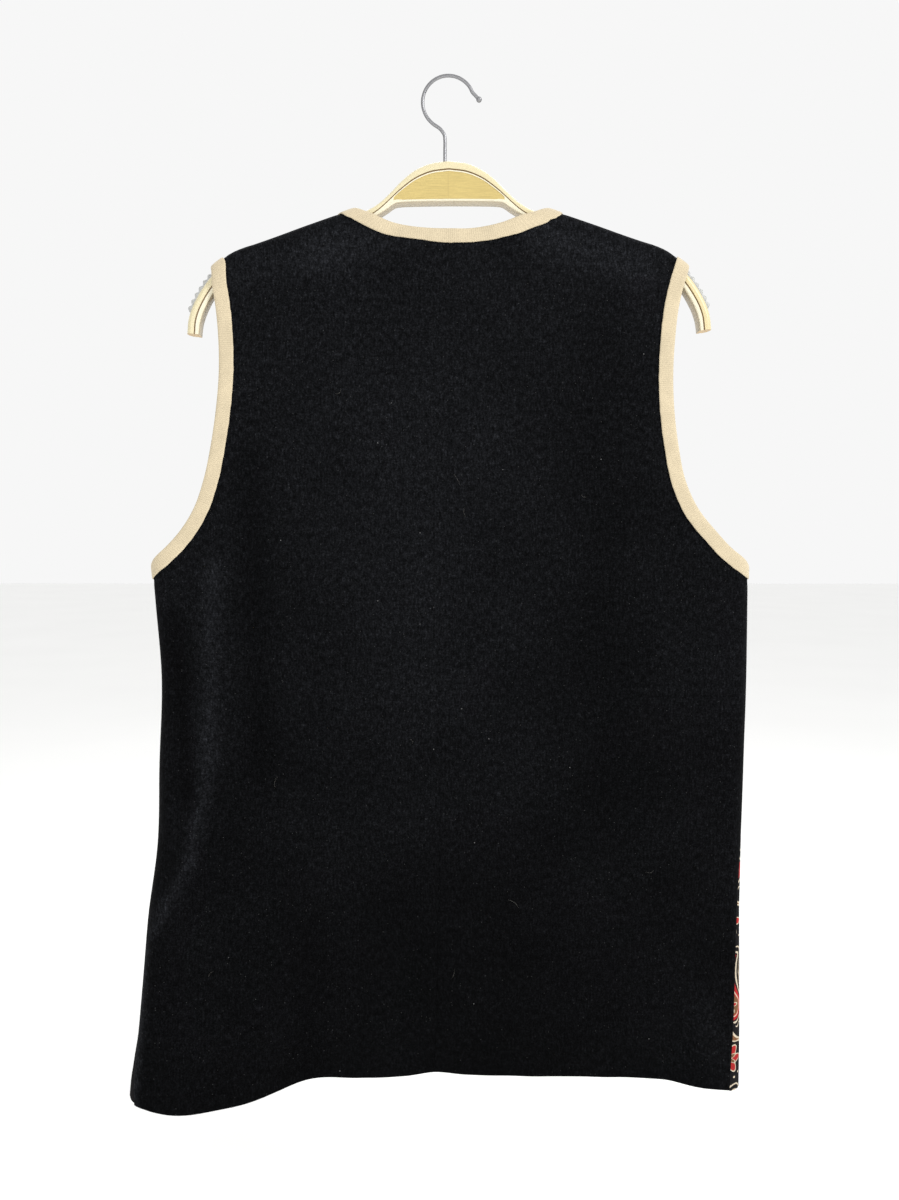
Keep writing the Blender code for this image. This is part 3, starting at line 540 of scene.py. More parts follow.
def front_neck_line(side):
    """Finished V of one front, from its foot up to the shoulder seam."""
    rows = [(side * NECK_POINT[side], seam_top(side * NECK_POINT[side]))]
    rows += [(middle(height) + side * half, height)
             for height, half in zip(FRONT_NECK["height"], FRONT_NECK["half"])]
    return smooth_line(rows[::-1])


def front_edge_line(side):
    """Finished straight edge of one front, from the hem up to the foot of the V."""
    foot = FRONT_NECK["height"][-1]
    low = hem(1, middle(HEM_LINE))
    heights = np.linspace(low, foot, FRONT_EDGE_POINTS)
    return np.stack([middle(heights) + side * FRONT_GAP / 2, heights], axis=1)


def front_line(side):
    """Finished edge of one front, from the hem up to the shoulder seam."""
    return np.concatenate([front_edge_line(side)[:-1], front_neck_line(side)])


def hem(face, s):
    """Height of the hem on the flat cloth of one face."""
    return read(HEM, "across", "back" if face < 0 else "front", s)


def coons(foot, top, inner, outer, across, up):
    """Flat grid between four edges: foot and top run outward, inner and outer run up."""
    u, v = across[:, None, None], up[None, :, None]
    corners = ((1 - u) * (1 - v) * foot[0] + u * (1 - v) * foot[-1]
               + (1 - u) * v * top[0] + u * v * top[-1])
    return ((1 - v) * foot[:, None] + v * top[:, None]
            + (1 - u) * inner[None] + u * outer[None] - corners)


def seam_rim(face, side, q):
    """The panel's own edge at the side seam."""
    return side_seam(face, side, q) - side * SEAM_GAP / 2


def middle_edge(face, side):
    """A panel's inner edge from hem to shoulder or back neck, and its neck edge on the back."""
    if face > 0:
        line = inset(front_line(side), side)
        line[-1, 1] -= SEAM_GAP / 2
        return line, None
    neck = inset(back_neck_line(side), side)
    neck[-1, 1] -= SEAM_GAP / 2
    neck[0, 0] = middle(neck[0, 1]) + side * SEAM_GAP / 2
    q = np.linspace(HEM_LINE - MIDDLE_BELOW, neck[0, 1], MIDDLE_POINTS)
    return np.stack([middle(q) + side * SEAM_GAP / 2, q], axis=1), neck


def even_rows(length, start, end, spacing):
    """Shares of a length: fine steps at the ends that are finished edges, an even grid between."""
    inner = np.linspace(0, length, max(2, round(length / spacing) + 1))
    fine = [np.array(EDGE_STEPS)] if start else []
    fine += [length - np.array(EDGE_STEPS)] if end else []
    low = EDGE_STEPS[-1] + spacing / 2 if start else 0
    high = length - (EDGE_STEPS[-1] + spacing / 2 if end else 0)
    kept = inner[(inner >= low) & (inner <= high)]
    return np.unique(np.round(np.concatenate([kept, *fine]), 4)) / length


def lower_grid(face, side, inner, arm, across, rows):
    """Flat grid from the hem up to the yoke line and the foot of the armhole."""
    def column(q, share):
        start = np.interp(q, inner[:, 1], inner[:, 0])
        flat = flat_reach(side, q)[0] * side
        end = seam_rim(face, side, q)
        bent = flat + (end - flat) * (share - FLAT_SHARE) / (1 - FLAT_SHARE)
        return np.where(share > FLAT_SHARE, bent, start + (flat - start) * share / FLAT_SHARE)

    order = np.argsort(arm[:, 0])
    s_top = column(np.full(len(across), YOKE), across)
    q_top = np.interp(s_top, arm[order, 0], arm[order, 1], left=YOKE, right=YOKE)
    for _ in range(ARM_TURNS):
        s_top = column(q_top, across)
        on_arm = np.interp(s_top, arm[order, 0], arm[order, 1])
        q_top = np.where(np.abs(s_top) > np.abs(arm[-1, 0]), on_arm, YOKE)
    q_foot = hem(face, column(np.full(len(across), HEM_LINE), across))
    for _ in range(HEM_TURNS):
        q_foot = hem(face, column(q_foot, across))
    q = q_foot[:, None] + (q_top - q_foot)[:, None] * rows[None, :]
    return np.stack([column(q, across[:, None]), q], axis=2)


def upper_grid(foot, inner, arm, neck, share, rows):
    """Flat grid from the yoke line up to the shoulder and the neck, between the middle and the armhole."""
    inner = along(np.concatenate([foot[:1], inner[inner[:, 1] > YOKE]]), rows)
    outer = along(arm, rows)
    if neck is None:
        top = seam_row(inner[-1, 0], outer[-1, 0], share)
    else:
        point = np.argmin(np.abs(share - NECK_COLUMN))
        on_neck = along(neck, share[:point + 1] / share[point])
        on_seam = seam_row(neck[-1, 0], outer[-1, 0], (share[point:] - share[point]) / (1 - share[point]))
        top = np.concatenate([on_neck[:-1], on_seam])
    top[0], top[-1] = inner[-1], outer[-1]
    return coons(foot, top, inner, outer, share, rows)


def grid_quads(grid):
    """Quads between the rows and columns of a grid of point numbers."""
    return [[int(grid[i, j]), int(grid[i + 1, j]), int(grid[i + 1, j + 1]), int(grid[i, j + 1])]
            for i in range(grid.shape[0] - 1) for j in range(grid.shape[1] - 1)]


def panel_mesh(face, side, across, low_rows, up_rows):
    """Points and quads of one flat panel: a lower block, and an upper one inside the armhole."""
    inner, neck = middle_edge(face, side)
    arm = inset(armhole_line(face, side), -side)
    arm[-1, 1] -= SEAM_GAP / 2
    arm[0, 0] = seam_rim(face, side, arm[0, 1])
    split = np.argmin(np.abs(arm[:, 1] - YOKE))
    arm[split, 1] = YOKE
    start = np.interp(YOKE, inner[:, 1], inner[:, 0])
    width = flat_reach(side, YOKE)[0] * side - start
    across = across.copy()
    last = np.argmin(np.abs(start + width * across / FLAT_SHARE - arm[split, 0]))
    across[last] = (arm[split, 0] - start) / width * FLAT_SHARE
    lower = lower_grid(face, side, inner, arm[:split + 1], across, low_rows)
    lower[last, -1] = arm[split]
    foot = lower[:last + 1, -1]
    share = (foot[:, 0] - foot[0, 0]) / (arm[split, 0] - foot[0, 0])
    upper = upper_grid(foot, inner, arm[split:], neck, share, up_rows)
    points = np.concatenate([lower.reshape(-1, 2), upper[:, 1:].reshape(-1, 2)])
    index = np.arange(len(points))
    low = index[:len(across) * len(low_rows)].reshape(-1, len(low_rows))
    high = index[low.size:].reshape(-1, len(up_rows) - 1)
    high = np.concatenate([low[:last + 1, -1:], high], axis=1)
    return points, grid_quads(low) + grid_quads(high)


def seam_row(start, end, share):
    """Panel points just short of the shoulder seam."""
    s = start + (end - start) * share
    return np.stack([s, seam_top(s) - SEAM_GAP / 2], axis=1)


def nearest_on(line, points):
    """Distance from flat points to a line, and how far along the line the nearest place lies."""
    gap = np.hypot(points[:, None, 0] - line[None, :, 0], points[:, None, 1] - line[None, :, 1])
    nearest = gap.argmin(axis=1)
    return gap[np.arange(len(points)), nearest], run_along(line)[nearest]


def pull(at):
    """Uneven swing between -1 and 1 along a stitched edge."""
    waves = [np.sin(math.tau * wave * at + phase) for wave, phase in zip(*PULLS.values())]
    return sum(waves) / len(waves)


def bound_lines(face, side):
    """The finished edges of one panel that a binding covers."""
    return [back_neck_line(side) if face < 0 else front_line(side), armhole_line(face, side)]


def cloth_lifts(face, side, flat):
    """How far the outer and inner skins of a panel stand off its middle layer."""
    settings = bpy.context.scene.vest_cloth
    s, q = flat[:, 0], flat[:, 1]
    outer = np.full(len(flat), CLOTH / 2)
    inner = outer.copy()
    for line in bound_lines(face, side):
        gap, at = nearest_on(line, flat)
        outer -= UNDER_BINDING * ease((BINDING_WIDTH + PRESS_PAST - gap) / PRESS_RUN)
        past = np.maximum(gap - BINDING_WIDTH, 0)
        puckers = pull(at) * np.exp(-past / PUCKER_FADE) * ease(past / PUCKER_RISE)
        stitched = np.exp(-((gap - BINDING_WIDTH - STITCH_PAST) / STITCH_REACH)**2)
        outer += settings.pucker / MM * (puckers - stitched)
    seams = [np.abs(side_seam(face, side, q) - s), seam_top(s) - q]
    if face < 0:
        seams.append(np.abs(s - middle(q)))
    for gap in seams:
        outer -= SEAM_DIP * np.exp(-(gap / SEAM_REACH)**2)
    from_hem = q - hem(face, s)
    turn = settings.hem_turn / MM
    inner += HEM_DOUBLE * ease((turn + 1 - from_hem) / 2)
    outer -= HEM_STITCH * np.exp(-((from_hem - turn) / HEM_STITCH_REACH)**2)
    closing = np.sqrt(1 - (1 - np.clip(from_hem / EDGE_ROUND, 0, 1))**2)
    return (outer - CLOTH_EDGE) * closing + CLOTH_EDGE, -(inner - CLOTH_EDGE) * closing - CLOTH_EDGE


def make_piece(name, points, faces, finishes, maps, indices=None):
    """A named mesh in metres with its finishes and flat coordinates, riding on the vest's body."""
    mesh = bpy.data.meshes.new(name)
    mesh.from_pydata((np.asarray(points) * MM).tolist(), [], faces)
    for finish in finishes:
        mesh.materials.append(finish)
    if indices is not None:
        mesh.polygons.foreach_set("material_index", indices)
    for map_name, corners in maps.items():
        layer = mesh.uv_layers.new(name=map_name)
        layer.data.foreach_set("uv", (np.asarray(corners, float) * MM).ravel())
    mesh.shade_smooth()
    mesh.set_sharp_from_angle(angle=math.radians(SHARP_ANGLE))
    obj = bpy.data.objects.new(name, mesh)
    bpy.context.scene.collection.objects.link(obj)
    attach(obj, BODY)
    return obj


def panel_wall(face, side, flat, quads):
    """Points, faces and corner coordinates of one panel's closed wall of cloth."""
    outer, inner = cloth_lifts(face, side, flat)
    points = np.concatenate([place(face, flat[:, 0], flat[:, 1], lift) for lift in (outer, inner)])
    count = len(flat)
    turned = [quad[::-1] for quad in quads]
    if face * side > 0:
        quads, turned = turned, quads
    faces = [tuple(quad) for quad in quads] + [tuple(count + k for k in quad) for quad in turned]
    rim = {}
    for quad in quads:
        for a, b in zip(quad, quad[1:] + quad[:1]):
            if (b, a) in rim:
                del rim[b, a]
            else:
                rim[a, b] = (b, a, count + a, count + b)
    faces += rim.values()
    return points, faces, [flat[k % count] for quad in faces for k in quad], len(quads)


def flat_area(flat, quads):
    """Area of the flat cut, in square millimetres."""
    corners = flat[np.array(quads)]
    one, two = corners[:, 2] - corners[:, 0], corners[:, 3] - corners[:, 1]
    return np.abs(one[:, 0] * two[:, 1] - one[:, 1] * two[:, 0]).sum() / 2


def make_panel(name, face, side, finish):
    """One cloth panel over its solid, with its hem turned up inside and its seams drawn in."""
    settings = bpy.context.scene.vest_cloth
    spacing = settings.mesh_spacing / MM
    flat_part = even_rows(FLAT_WIDTH, True, False, spacing) * FLAT_SHARE
    fold_part = even_rows(FLAT_WIDTH * (1 - FLAT_SHARE), False, True, FOLD_SPACING)
    around = 1 - (1 - fold_part) * (1 - FLAT_SHARE)
    across = np.unique(np.concatenate([flat_part, around]).round(6))
    rows = even_rows(LOWER_HEIGHT, True, False, spacing)
    upper = even_rows(UPPER_HEIGHT, False, True, spacing)
    flat, quads = panel_mesh(face, side, across, rows, upper)
    points, faces, corners, outer = panel_wall(face, side, flat, quads)
    indices = np.zeros(len(faces), np.int32)
    indices[outer:2 * outer] = 1
    obj = make_piece(name, points, faces, [finish, cloth_inside()], {CLOTH_MAP: corners}, indices)
    flat_area(flat, quads) * MM**2
    return obj


def loft(rings, along_run, around, closed=False):
    """Points, faces and corner coordinates of a skin through rings of points."""
    rings = np.array(rings)
    count, sides = rings.shape[:2]
    faces, corners = [], []
    for i in range(count if closed else count - 1):
        j = (i + 1) % count
        for k in range(sides):
            m = (k + 1) % sides
            faces.append((i * sides + k, i * sides + m, j * sides + m, j * sides + k))
            corners += [(along_run[i], around[k]), (along_run[i], around[k + 1]),
                        (along_run[i + 1], around[k + 1]), (along_run[i + 1], around[k])]
    return rings.reshape(-1, 3), faces, corners


def facing_out(points, faces):
    """True if the faces of a closed skin look outward."""
    volume = 0
    for face in faces:
        a = points[face[0]]
        for b, c in zip(face[1:], face[2:]):
            volume += np.dot(a, np.cross(points[b], points[c]))
    return volume > 0


def turn_out(points, faces, corners):
    """Flips every face of a closed skin, with its coordinates, if it is inside out."""
    if facing_out(points - points.mean(axis=0), faces):
        return faces, corners
    turned, flipped = [], []
    for face in faces:
        at = len(flipped)
        turned.append(face[::-1])
        flipped += corners[at:at + len(face)][::-1]
    return turned, flipped


def closed_skin(rings, run):
    """Points, faces and corner coordinates of a skin through rings, closed by a cap at each end."""
    sides = len(rings[0])
    around = np.arange(sides + 1.0)
    points, faces, corners = loft(rings, run, around)
    for ring, order in ((0, range(sides)[::-1]), (len(rings) - 1, range(sides))):
        faces.append(tuple(ring * sides + k for k in order))
        corners += [(run[ring], around[k]) for k in order]
    return points, *turn_out(points, faces, corners)


def round_rings(line, ones, twos, radii, sides):
    """Circles of points round a line, each laid out by two directions."""
    turns = [math.tau * k / sides for k in range(sides)]
    return [[point + radius * (one * math.cos(turn) + two * math.sin(turn)) for turn in turns]
            for point, one, two, radius in zip(line, ones, twos, radii)]


def binding_section(at):
    """Section of the folded binding at one place of its run: distance in, and lift."""
    half = BINDING_SKIN
    swell = pull(at * SWELL_WAVE + SWELL_START) * ease(half["outer_lift"] - 1)
    skins = []
    for far, lift in ((half["outer_in"] * (1 + WIDTH_GIVE * pull(at)), half["outer_lift"] + SWELL * swell),
                      (half["inner_in"], half["inner_lift"])):
        skins.append(np.concatenate([np.stack([far, lift], 1), np.stack([far, -lift], 1)[-2::-1]]))
    return np.concatenate([skins[0], skins[1][::-1]])


def binding_rings(face, line, side, at_side=False, narrows=()):
    """Rings of the binding's section along a finished edge that ends at the shoulder seam."""
    normals = inward(line, side)
    slope = (seam_top(line[:, 0] + 1) - seam_top(line[:, 0] - 1)) / 2
    along_seam = np.stack([np.ones(len(line)), slope], axis=1) * np.sign(normals[-1, 0])
    below = (seam_top(line[:, 0]) - line[:, 1]) / SHOULDER_FOLD
    near = ease((ALIGN_END - below) / (ALIGN_END - ALIGN_FULL))[:, None]
    ways = normals * (1 - near) + along_seam * near
    if at_side:
        near = ease(1 - np.abs(line[:, :1] - line[0, 0]) / SHOULDER_FOLD)
        ways = ways * (1 - near) + np.array([[0.0, -1.0]]) * near
    ways /= (ways * normals).sum(axis=1, keepdims=True)
    length = run_along(line)[-1]
    shares = np.linspace(0, 1, round(length / BINDING_SPACING) + 1)
    rings = []
    for share, point, way in zip(shares, along(line, shares), along_values(line, ways, shares)):
        section = binding_section(share * length)
        from_seam = (1 - share) * length
        lost = sum(loss * math.exp(-((from_seam - at) / reach)**2) for at, loss, reach in narrows)
        flat = point + section[:, :1] * way * (1 - lost)
        rings.append(place(face, flat[:, 0], flat[:, 1], section[:, 1]))
    return rings


def run_of(rings, closed=False):
    """Distance along the middle of the fold at each ring."""
    fold = np.array(rings)[:, len(BINDING_SKIN["outer_in"]) - 1]
    return run_along(np.concatenate([fold, fold[:1]]) if closed else fold)


def around_binding():
    """Distance round the binding's section at each of its points, and back at the first."""
    section = binding_section(0.0)
    return run_along(np.concatenate([section, section[:1]]))


def make_binding(name, node, rings, finish, closed):
    """One strip of ribbed binding, folded over its finished edge."""
    run, around = run_of(rings, closed), around_binding()
    points, faces, corners = loft(rings, run, around, closed)
    sides = len(rings[0])
    if not closed:
        for ring, flip in ((0, True), (len(rings) - 1, False)):
            for k in range(sides // 2 - 1):
                quad = (k, k + 1, sides - 2 - k, sides - 1 - k)
                quad = quad[::-1] if flip else quad
                faces.append(tuple(ring * sides + m for m in quad))
                corners += [(run[ring], around[m]) for m in quad]
    faces, corners = turn_out(points, faces, corners)
    obj = make_piece(name, points, faces, [finish], {BINDING_MAP: corners})
    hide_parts(node)
    return obj


def make_neck_binding(finish):
    """One strip: up the left front, round the neck and down the right front."""
    rings = []
    for side in (-1, 1):
        back = binding_rings(-1, back_neck_line(side), side, narrows=NARROWS[side])
        half = binding_rings(1, front_line(side), side) + back[-2::-1]
        rings += half if side < 0 else half[-2::-1]
    return make_binding("neck_binding_strip", "neck_binding", rings, finish, False)


def make_armhole_binding(side, finish):
    """One closed strip round an armhole."""
    name = "armhole_binding_" + SIDE_NAMES[side]
    rings = []
    for face in (-1, 1):
        half = binding_rings(face, armhole_line(face, side), -side, at_side=True)
        rings += half if face < 0 else half[-2:0:-1]
    return make_binding(name + "_strip", name, rings, finish, True)


def hanger_place(x, z):
    """A point of the hanger's own outline, hung with its small tilt."""
    x = x + HANGER_SHIFT
    return (x * math.cos(HANG_TILT) - z * math.sin(HANG_TILT),
            x * math.sin(HANG_TILT) + z * math.cos(HANG_TILT))


def strip_width(height):
    """Width of the outer strip, a little more where the hanger is high."""
    return STRIP + STRIP_GROWTH * (height - ARM_HEIGHT)


def hanger_section(height, x):
    """Half section of the hanger: across from its middle and up from its base, base to crown."""
    half = HANGER_THICK / 2
    settings = bpy.context.scene.vest_hanger
    strip = strip_width(height)
    low, high = height - strip - GROOVE, height - strip
    rim = RIM + RIM_FLARE * max(abs(x) - RIM_FLARE_FROM, 0)
    top = low - CREAM_LINE
    recess = settings.insert_recess / MM * float(ease((top - rim - RECESS_FROM) / RECESS_RUN))
    on_arm = abs(x) >= INSERT_END
    if on_arm or top - rim < INSERT_LEAST:
        rim, top = (BASE_ROUND + (low - BASE_ROUND) * share for share in PLAIN_SHARES)
    sunk = half if on_arm else half - recess
    groove = half - settings.groove_depth / MM
    points = [(0, 0), (half - BASE_ROUND, 0), (half - BASE_CORNER, BASE_CORNER), (half, BASE_ROUND),
              (half, rim), (sunk, rim + RECESS_STEP), (sunk, (rim + top) / 2), (sunk, top - RECESS_STEP),
              (half, top), (half, low), (groove, low + GROOVE_STEP), (groove, high - GROOVE_STEP),
              (half, high), (half, height - CROWN_ARC + 0.01)]
    for k in range(1, CROWN_SIDES + 1):
        angle = math.pi / 2 * k / CROWN_SIDES
        points.append((half * math.cos(angle), height - CROWN_ARC * (1 - math.sin(angle))))
    return points


def make_hanger(finishes):
    """The shaped hanger: banded faces, plain underside and sawn ends."""
    crown, base = (smooth_line(np.stack([HANGER[name + "_x"], HANGER[name + "_z"]], axis=1), HANGER_STEPS)
                   for name in ("crown", "base"))
    rings, up_rows, down_rows = [], [], []
    for k in range(1 - len(crown), len(crown)):
        side = -1 if k < 0 else 1
        top, foot = (np.array(hanger_place(side * line[abs(k), 0], line[abs(k), 1]))
                     for line in (crown, base))
        height = np.linalg.norm(top - foot)
        up = (top - foot) / height
        half = hanger_section(height, crown[abs(k), 0])
        section = [(-y, h) for y, h in half] + [(y, h) for y, h in half[-2:0:-1]]
        rings.append([(foot[0] + up[0] * h, y, foot[1] + up[1] * h) for y, h in section])
        up_rows.append([h for y, h in section])
        down_rows.append([height - h - strip_width(height) for y, h in section])
    run = run_along([ring[0] for ring in rings])
    points, faces, _ = closed_skin(rings, run)
    order = [k for face in faces for k in face]
    up_flat, down_flat = np.ravel(up_rows), np.ravel(down_rows)
    from_middle = np.repeat(run - run[len(run) // 2], len(rings[0]))
    maps = {WOOD_UP_MAP: [(from_middle[k], up_flat[k]) for k in order],
            WOOD_DOWN_MAP: [(points[k][1], down_flat[k]) for k in order]}
    underside, ends = 1, 2
    indices = [ends if len(face) > 4 else underside * int(max(up_flat[k] for k in face) < UNDERSIDE_UP)
               for face in faces]
    obj = make_piece("hanger_wood", points, faces, finishes, maps, indices)
    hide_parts("hanger_body")
    return obj


def tube(line, radii, sides, name, finish):
    """A round tube through points, its radius given at each."""
    line = np.array(line, float)
    run = unit(np.gradient(line, axis=0))
    side = unit(np.cross(run, [0.0, 1.0, 0.0]))
    rings = round_rings(line, side, np.cross(side, run), radii, sides)
    points, faces, corners = closed_skin(rings, run_along(line))
    return make_piece(name, points, faces, [finish], {CLOTH_MAP: corners})


def make_hook(finish):
    """Round wire: a stem let into the wood, a bend, an open loop and a rounded tip."""
    path = [(STEM["x"][0], STEM["z"][0] - STEM_LET_IN)] + list(zip(STEM["x"], STEM["z"]))
    centre = WIRE_RADIUS - LOOP_RADIUS
    for angle in np.radians(LOOP_DEGREES):
        path.append((LOOP_RADIUS * math.cos(angle), centre + LOOP_RADIUS * math.sin(angle)))
    flat = smooth_line(path + HOOK_END, steps=6)
    tip = unit(flat[-1] - flat[-2])
    line, radii = list(flat), [WIRE_RADIUS] * len(flat)
    ball = np.radians(BALL_DEGREES)
    for angle in ball:
        line.append(flat[-1] + tip * TIP_BALL * (math.sin(angle) - math.sin(ball[0])))
        radii.append(TIP_BALL * math.cos(angle))
    line = [(x, 0.0, z) for x, z in line]
    obj = tube(line, radii, WIRE_SIDES, "hook_wire", finish)
    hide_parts("hanger_hook")
    return obj


def make_grip(side, finish):
    """Clear strip with rounded teeth on the crown of one arm's end."""
    crown = smooth_line([(x, z) for x, z in zip(HANGER["crown_x"], HANGER["crown_z"]) if x > GRIP_FROM])
    length = run_along(crown)[-1]
    at = GRIP_START + np.linspace(0, GRIP_TEETH * GRIP_PITCH, GRIP_TEETH * GRIP_STEPS + 1)
    tooth = np.sin(math.pi * (at - GRIP_START) / GRIP_PITCH)**2
    heights = GRIP_BASE + GRIP_TOOTH * tooth**GRIP_ROUND
    ends = np.minimum(at - at[0], at[-1] - at)
    heights *= GRIP_END_SHARE + (1 - GRIP_END_SHARE) * ease(ends / GRIP_END_RUN)
    points, ways = along(crown, at / length), along_values(crown, inward(crown, -1), at / length)
    half = GRIP_WIDTH / 2
    rings = []
    for point, way, height in zip(points, ways, heights):
        section = [(half * across, height * up) for across, up in zip(*GRIP_SECTION.values())]
        ring = []
        for y, lift in [(-half, GRIP_FOOT), *section, (half, GRIP_FOOT)]:
            x, z = point + way * lift
            x, z = hanger_place(side * x, z)
            ring.append((x, y, z))
        rings.append(ring)
    skin, faces, corners = closed_skin(rings, at)
    name = "grip_" + SIDE_NAMES[side]
    obj = make_piece(name + "_teeth", skin, faces, [finish], {CLOTH_MAP: corners})
    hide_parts(name)
    return obj


def make_hairs(finish):
    """A few fine hairs caught on the nap."""
    all_points, all_faces, all_corners = [], [], []
    t = np.linspace(0, 1, HAIR_STEPS)
    taper = HAIR_RADIUS * (HAIR_TIP + (1 - HAIR_TIP) * np.sin(math.pi * t))
    for face, s, q, length, heading, curl in zip(*HAIRS.values()):
        turn = math.radians(heading) + curl * (t - 0.5)
        step = length / (HAIR_STEPS - 1)
        hair_s, hair_q = s + np.cumsum(np.cos(turn)) * step, q + np.cumsum(np.sin(turn)) * step
        line = place(face, hair_s, hair_q, HAIR_LIFT)
        out = np.array([0.0, face, 0.0])
        side = unit(np.cross(unit(np.gradient(line, axis=0)), out))
        rings = round_rings(line, side, [out] * HAIR_STEPS, taper, HAIR_SIDES)
        points, faces, corners = closed_skin(rings, t)
        shift = sum(len(part) for part in all_points)
        all_faces += [tuple(shift + k for k in quad) for quad in faces]
        all_corners += corners
        all_points.append(points)
    return make_piece("lint_hairs", np.concatenate(all_points), all_faces, [finish],
                      {CLOTH_MAP: all_corners})


class Value:
    """A number that varies over a surface; arithmetic on it adds Math nodes."""

    def __init__(self, finish, socket):
        self.finish = finish
        self.socket = socket

    def math(self, operation, *others, clamp=False):
        return self.finish.add("ShaderNodeMath", {"operation": operation, "use_clamp": clamp},
                               dict(enumerate((self, *others))))

    def __add__(self, other):
        return self.math("ADD", other)

    __radd__ = __add__

    def __mul__(self, other):
        return self.math("MULTIPLY", other)

    __rmul__ = __mul__

    def __sub__(self, other):
        return self.math("SUBTRACT", other)

    def __rsub__(self, other):
        return self.finish.add("ShaderNodeMath", {"operation": "SUBTRACT"}, {0: other, 1: self})

    def __truediv__(self, other):
        return self.math("DIVIDE", other)

    def __abs__(self):
        return self.math("ABSOLUTE")

    def __pow__(self, other):
        return self.math("POWER", other)

    def swing(self, weight):
        """A noise from 0 to 1 as a swing either way from 0."""
        return (self - 0.5) * weight

    def under(self, edge, soft):
        """1 where this is less than an edge and 0 where it is more, over a soft width."""
        return ((edge - self) / soft).math("ADD", 0.5, clamp=True)

    def over(self, edge, soft):
        """1 where this is more than an edge and 0 where it is less, over a soft width."""
        return ((self - edge) / soft).math("ADD", 0.5, clamp=True)

    def near(self, centre, half_width, soft):
        """1 within a half width of a centre."""
        return abs(self - centre).under(half_width, soft)


class Finish:
    """A material made of a Principled shader and formulas that feed it."""

    def __init__(self, name, constants):
        self.material = bpy.data.materials.new(name)
        self.material.use_nodes = True
        self.tree = self.material.node_tree
        self.shader = self.tree.nodes["Principled BSDF"]
        for socket, value in constants.items():
            self.shader.inputs[socket].default_value = value

    def add(self, kind, settings, inputs, output=0):
        """Adds a node: its settings first, then the values or links of its sockets."""
        node = self.tree.nodes.new(kind)
        for setting, value in settings.items():
            setattr(node, setting, value)
        for socket, value in inputs.items():
            self.feed(node.inputs[socket], value)
        return Value(self, node.outputs[output])

    def feed(self, socket, value):
        if isinstance(value, Value):
            self.tree.links.new(value.socket, socket)
        elif isinstance(value, (tuple, list)) and socket.type == "RGBA":
            socket.default_value = (*value[:3], 1.0)
        else:
            socket.default_value = value

    def flat(self, name):
        """The two coordinates of a named map, in millimetres."""
        point = self.add("ShaderNodeUVMap", {"uv_map": name}, {})
        return [self.add("ShaderNodeSeparateXYZ", {}, {0: point}, axis) * (1 / MM) for axis in (0, 1)]

    def vector(self, x, y, z=0.0):
        return self.add("ShaderNodeCombineXYZ", {}, {0: x, 1: y, 2: z})

    def noise(self, at, scale, detail=2.0, roughness=0.5):
        inputs = {"Vector": at, "Scale": scale, "Detail": detail, "Roughness": roughness}
        return self.add("ShaderNodeTexNoise", {}, inputs)

    def mix(self, first, second, factor):
        """Blend of two colours."""
        return self.add("ShaderNodeMix", {"data_type": "RGBA"}, {0: factor, 6: first, 7: second}, 2)

    def shade(self, color, factor):
        """A colour made lighter or darker by a factor."""
        grey = self.add("ShaderNodeCombineColor", {}, {0: factor, 1: factor, 2: factor})
        return self.add("ShaderNodeMix", {"data_type": "RGBA", "blend_type": "MULTIPLY"},
                        {0: 1.0, 6: color, 7: grey}, 2)

    def bump(self, height, distance):
        """Feeds the normal with a height given in millimetres."""
        normal = self.add("ShaderNodeBump", {}, {"Strength": 1.0, "Distance": distance * MM,
                                                 "Height": height})
        self.feed(self.shader.inputs["Normal"], normal)

    def color(self, value):
        self.feed(self.shader.inputs["Base Color"], value)

    def rough(self, value):
        self.feed(self.shader.inputs["Roughness"], value)


def black_nap():
    """Short napped black cloth: brushed pile, faint ribs, uneven patches, specks of lint, painted light
    from above, and painted highlights and shade along its folds.
    """
    settings = bpy.context.scene.vest_cloth
    finish = Finish("black_napped_cloth", NAP_CONSTANTS)
    s, q = finish.flat(CLOTH_MAP)
    place_on = finish.vector(s, q)
    patches = finish.noise(place_on, 0.013, 4.0, 0.6)
    brushed = finish.noise(finish.vector(s, q * 0.3), 0.6, 3.0, 0.7)
    pile = finish.noise(place_on, 0.62, 3.0, 0.75)
    flecks = finish.noise(place_on, 0.19, 4.0, 0.65)
    ribs = (s * (math.tau / RIB_OF_NAP)).math("SINE")
    # Painted light from above: the nap is made lighter towards the top
    painted_top_light = ((q - TOP_LIGHT_LOW) / (TOP_LIGHT_HIGH - TOP_LIGHT_LOW)).math("ADD", 0.0, clamp=True)
    # Painted highlights and shade along the folds, over the shoulders and at the left edge
    painted_light_and_shade = sum(painted_light_mark(s, q, *mark) for mark in zip(*PAINTED_LIGHT_MARKS.values()))
    grain = brushed.swing(BRUSHED_GRAIN) + pile.swing(PILE_GRAIN) + flecks.swing(FLECK_GRAIN)
    # Random patches of tone, together with the painted light from above
    patchy_and_top_lit = NAP_LOW + painted_top_light * NAP_TOP_LIGHT + patches.swing(NAP_PATCHY)
    tone = patchy_and_top_lit * (1.0 + painted_light_and_shade) * (grain + ribs * RIB_GRAIN).math("EXPONENT")
    base = finish.shade(tuple(settings.black), tone.math("MAXIMUM", NAP_LEAST))
    finish.color(finish.mix(base, tuple(settings.lint), lint(finish, place_on)))
    finish.bump(pile * PILE_HEIGHT + brushed * BRUSHED_HEIGHT + ribs * RIB_HEIGHT, 0.34)
    return finish.material


def painted_light_mark(s, q, top_s, top_q, foot_s, foot_q, half_width, lighter):
    """How much lighter (painted highlight) or darker (painted shade) the nap is painted near one line."""
    run_s, run_q = foot_s - top_s, foot_q - top_q
    length = math.hypot(run_s, run_q)
    t = (s - top_s) * (run_s / length**2) + (q - top_q) * (run_q / length**2)
    off = (s - top_s) * (run_q / length) - (q - top_q) * (run_s / length)
    beyond = abs(t - 0.5) * length - length / 2
    away = off * off + beyond.math("MAXIMUM", 0.0) ** 2.0
    return (away * (-1 / half_width**2)).math("EXPONENT") * lighter


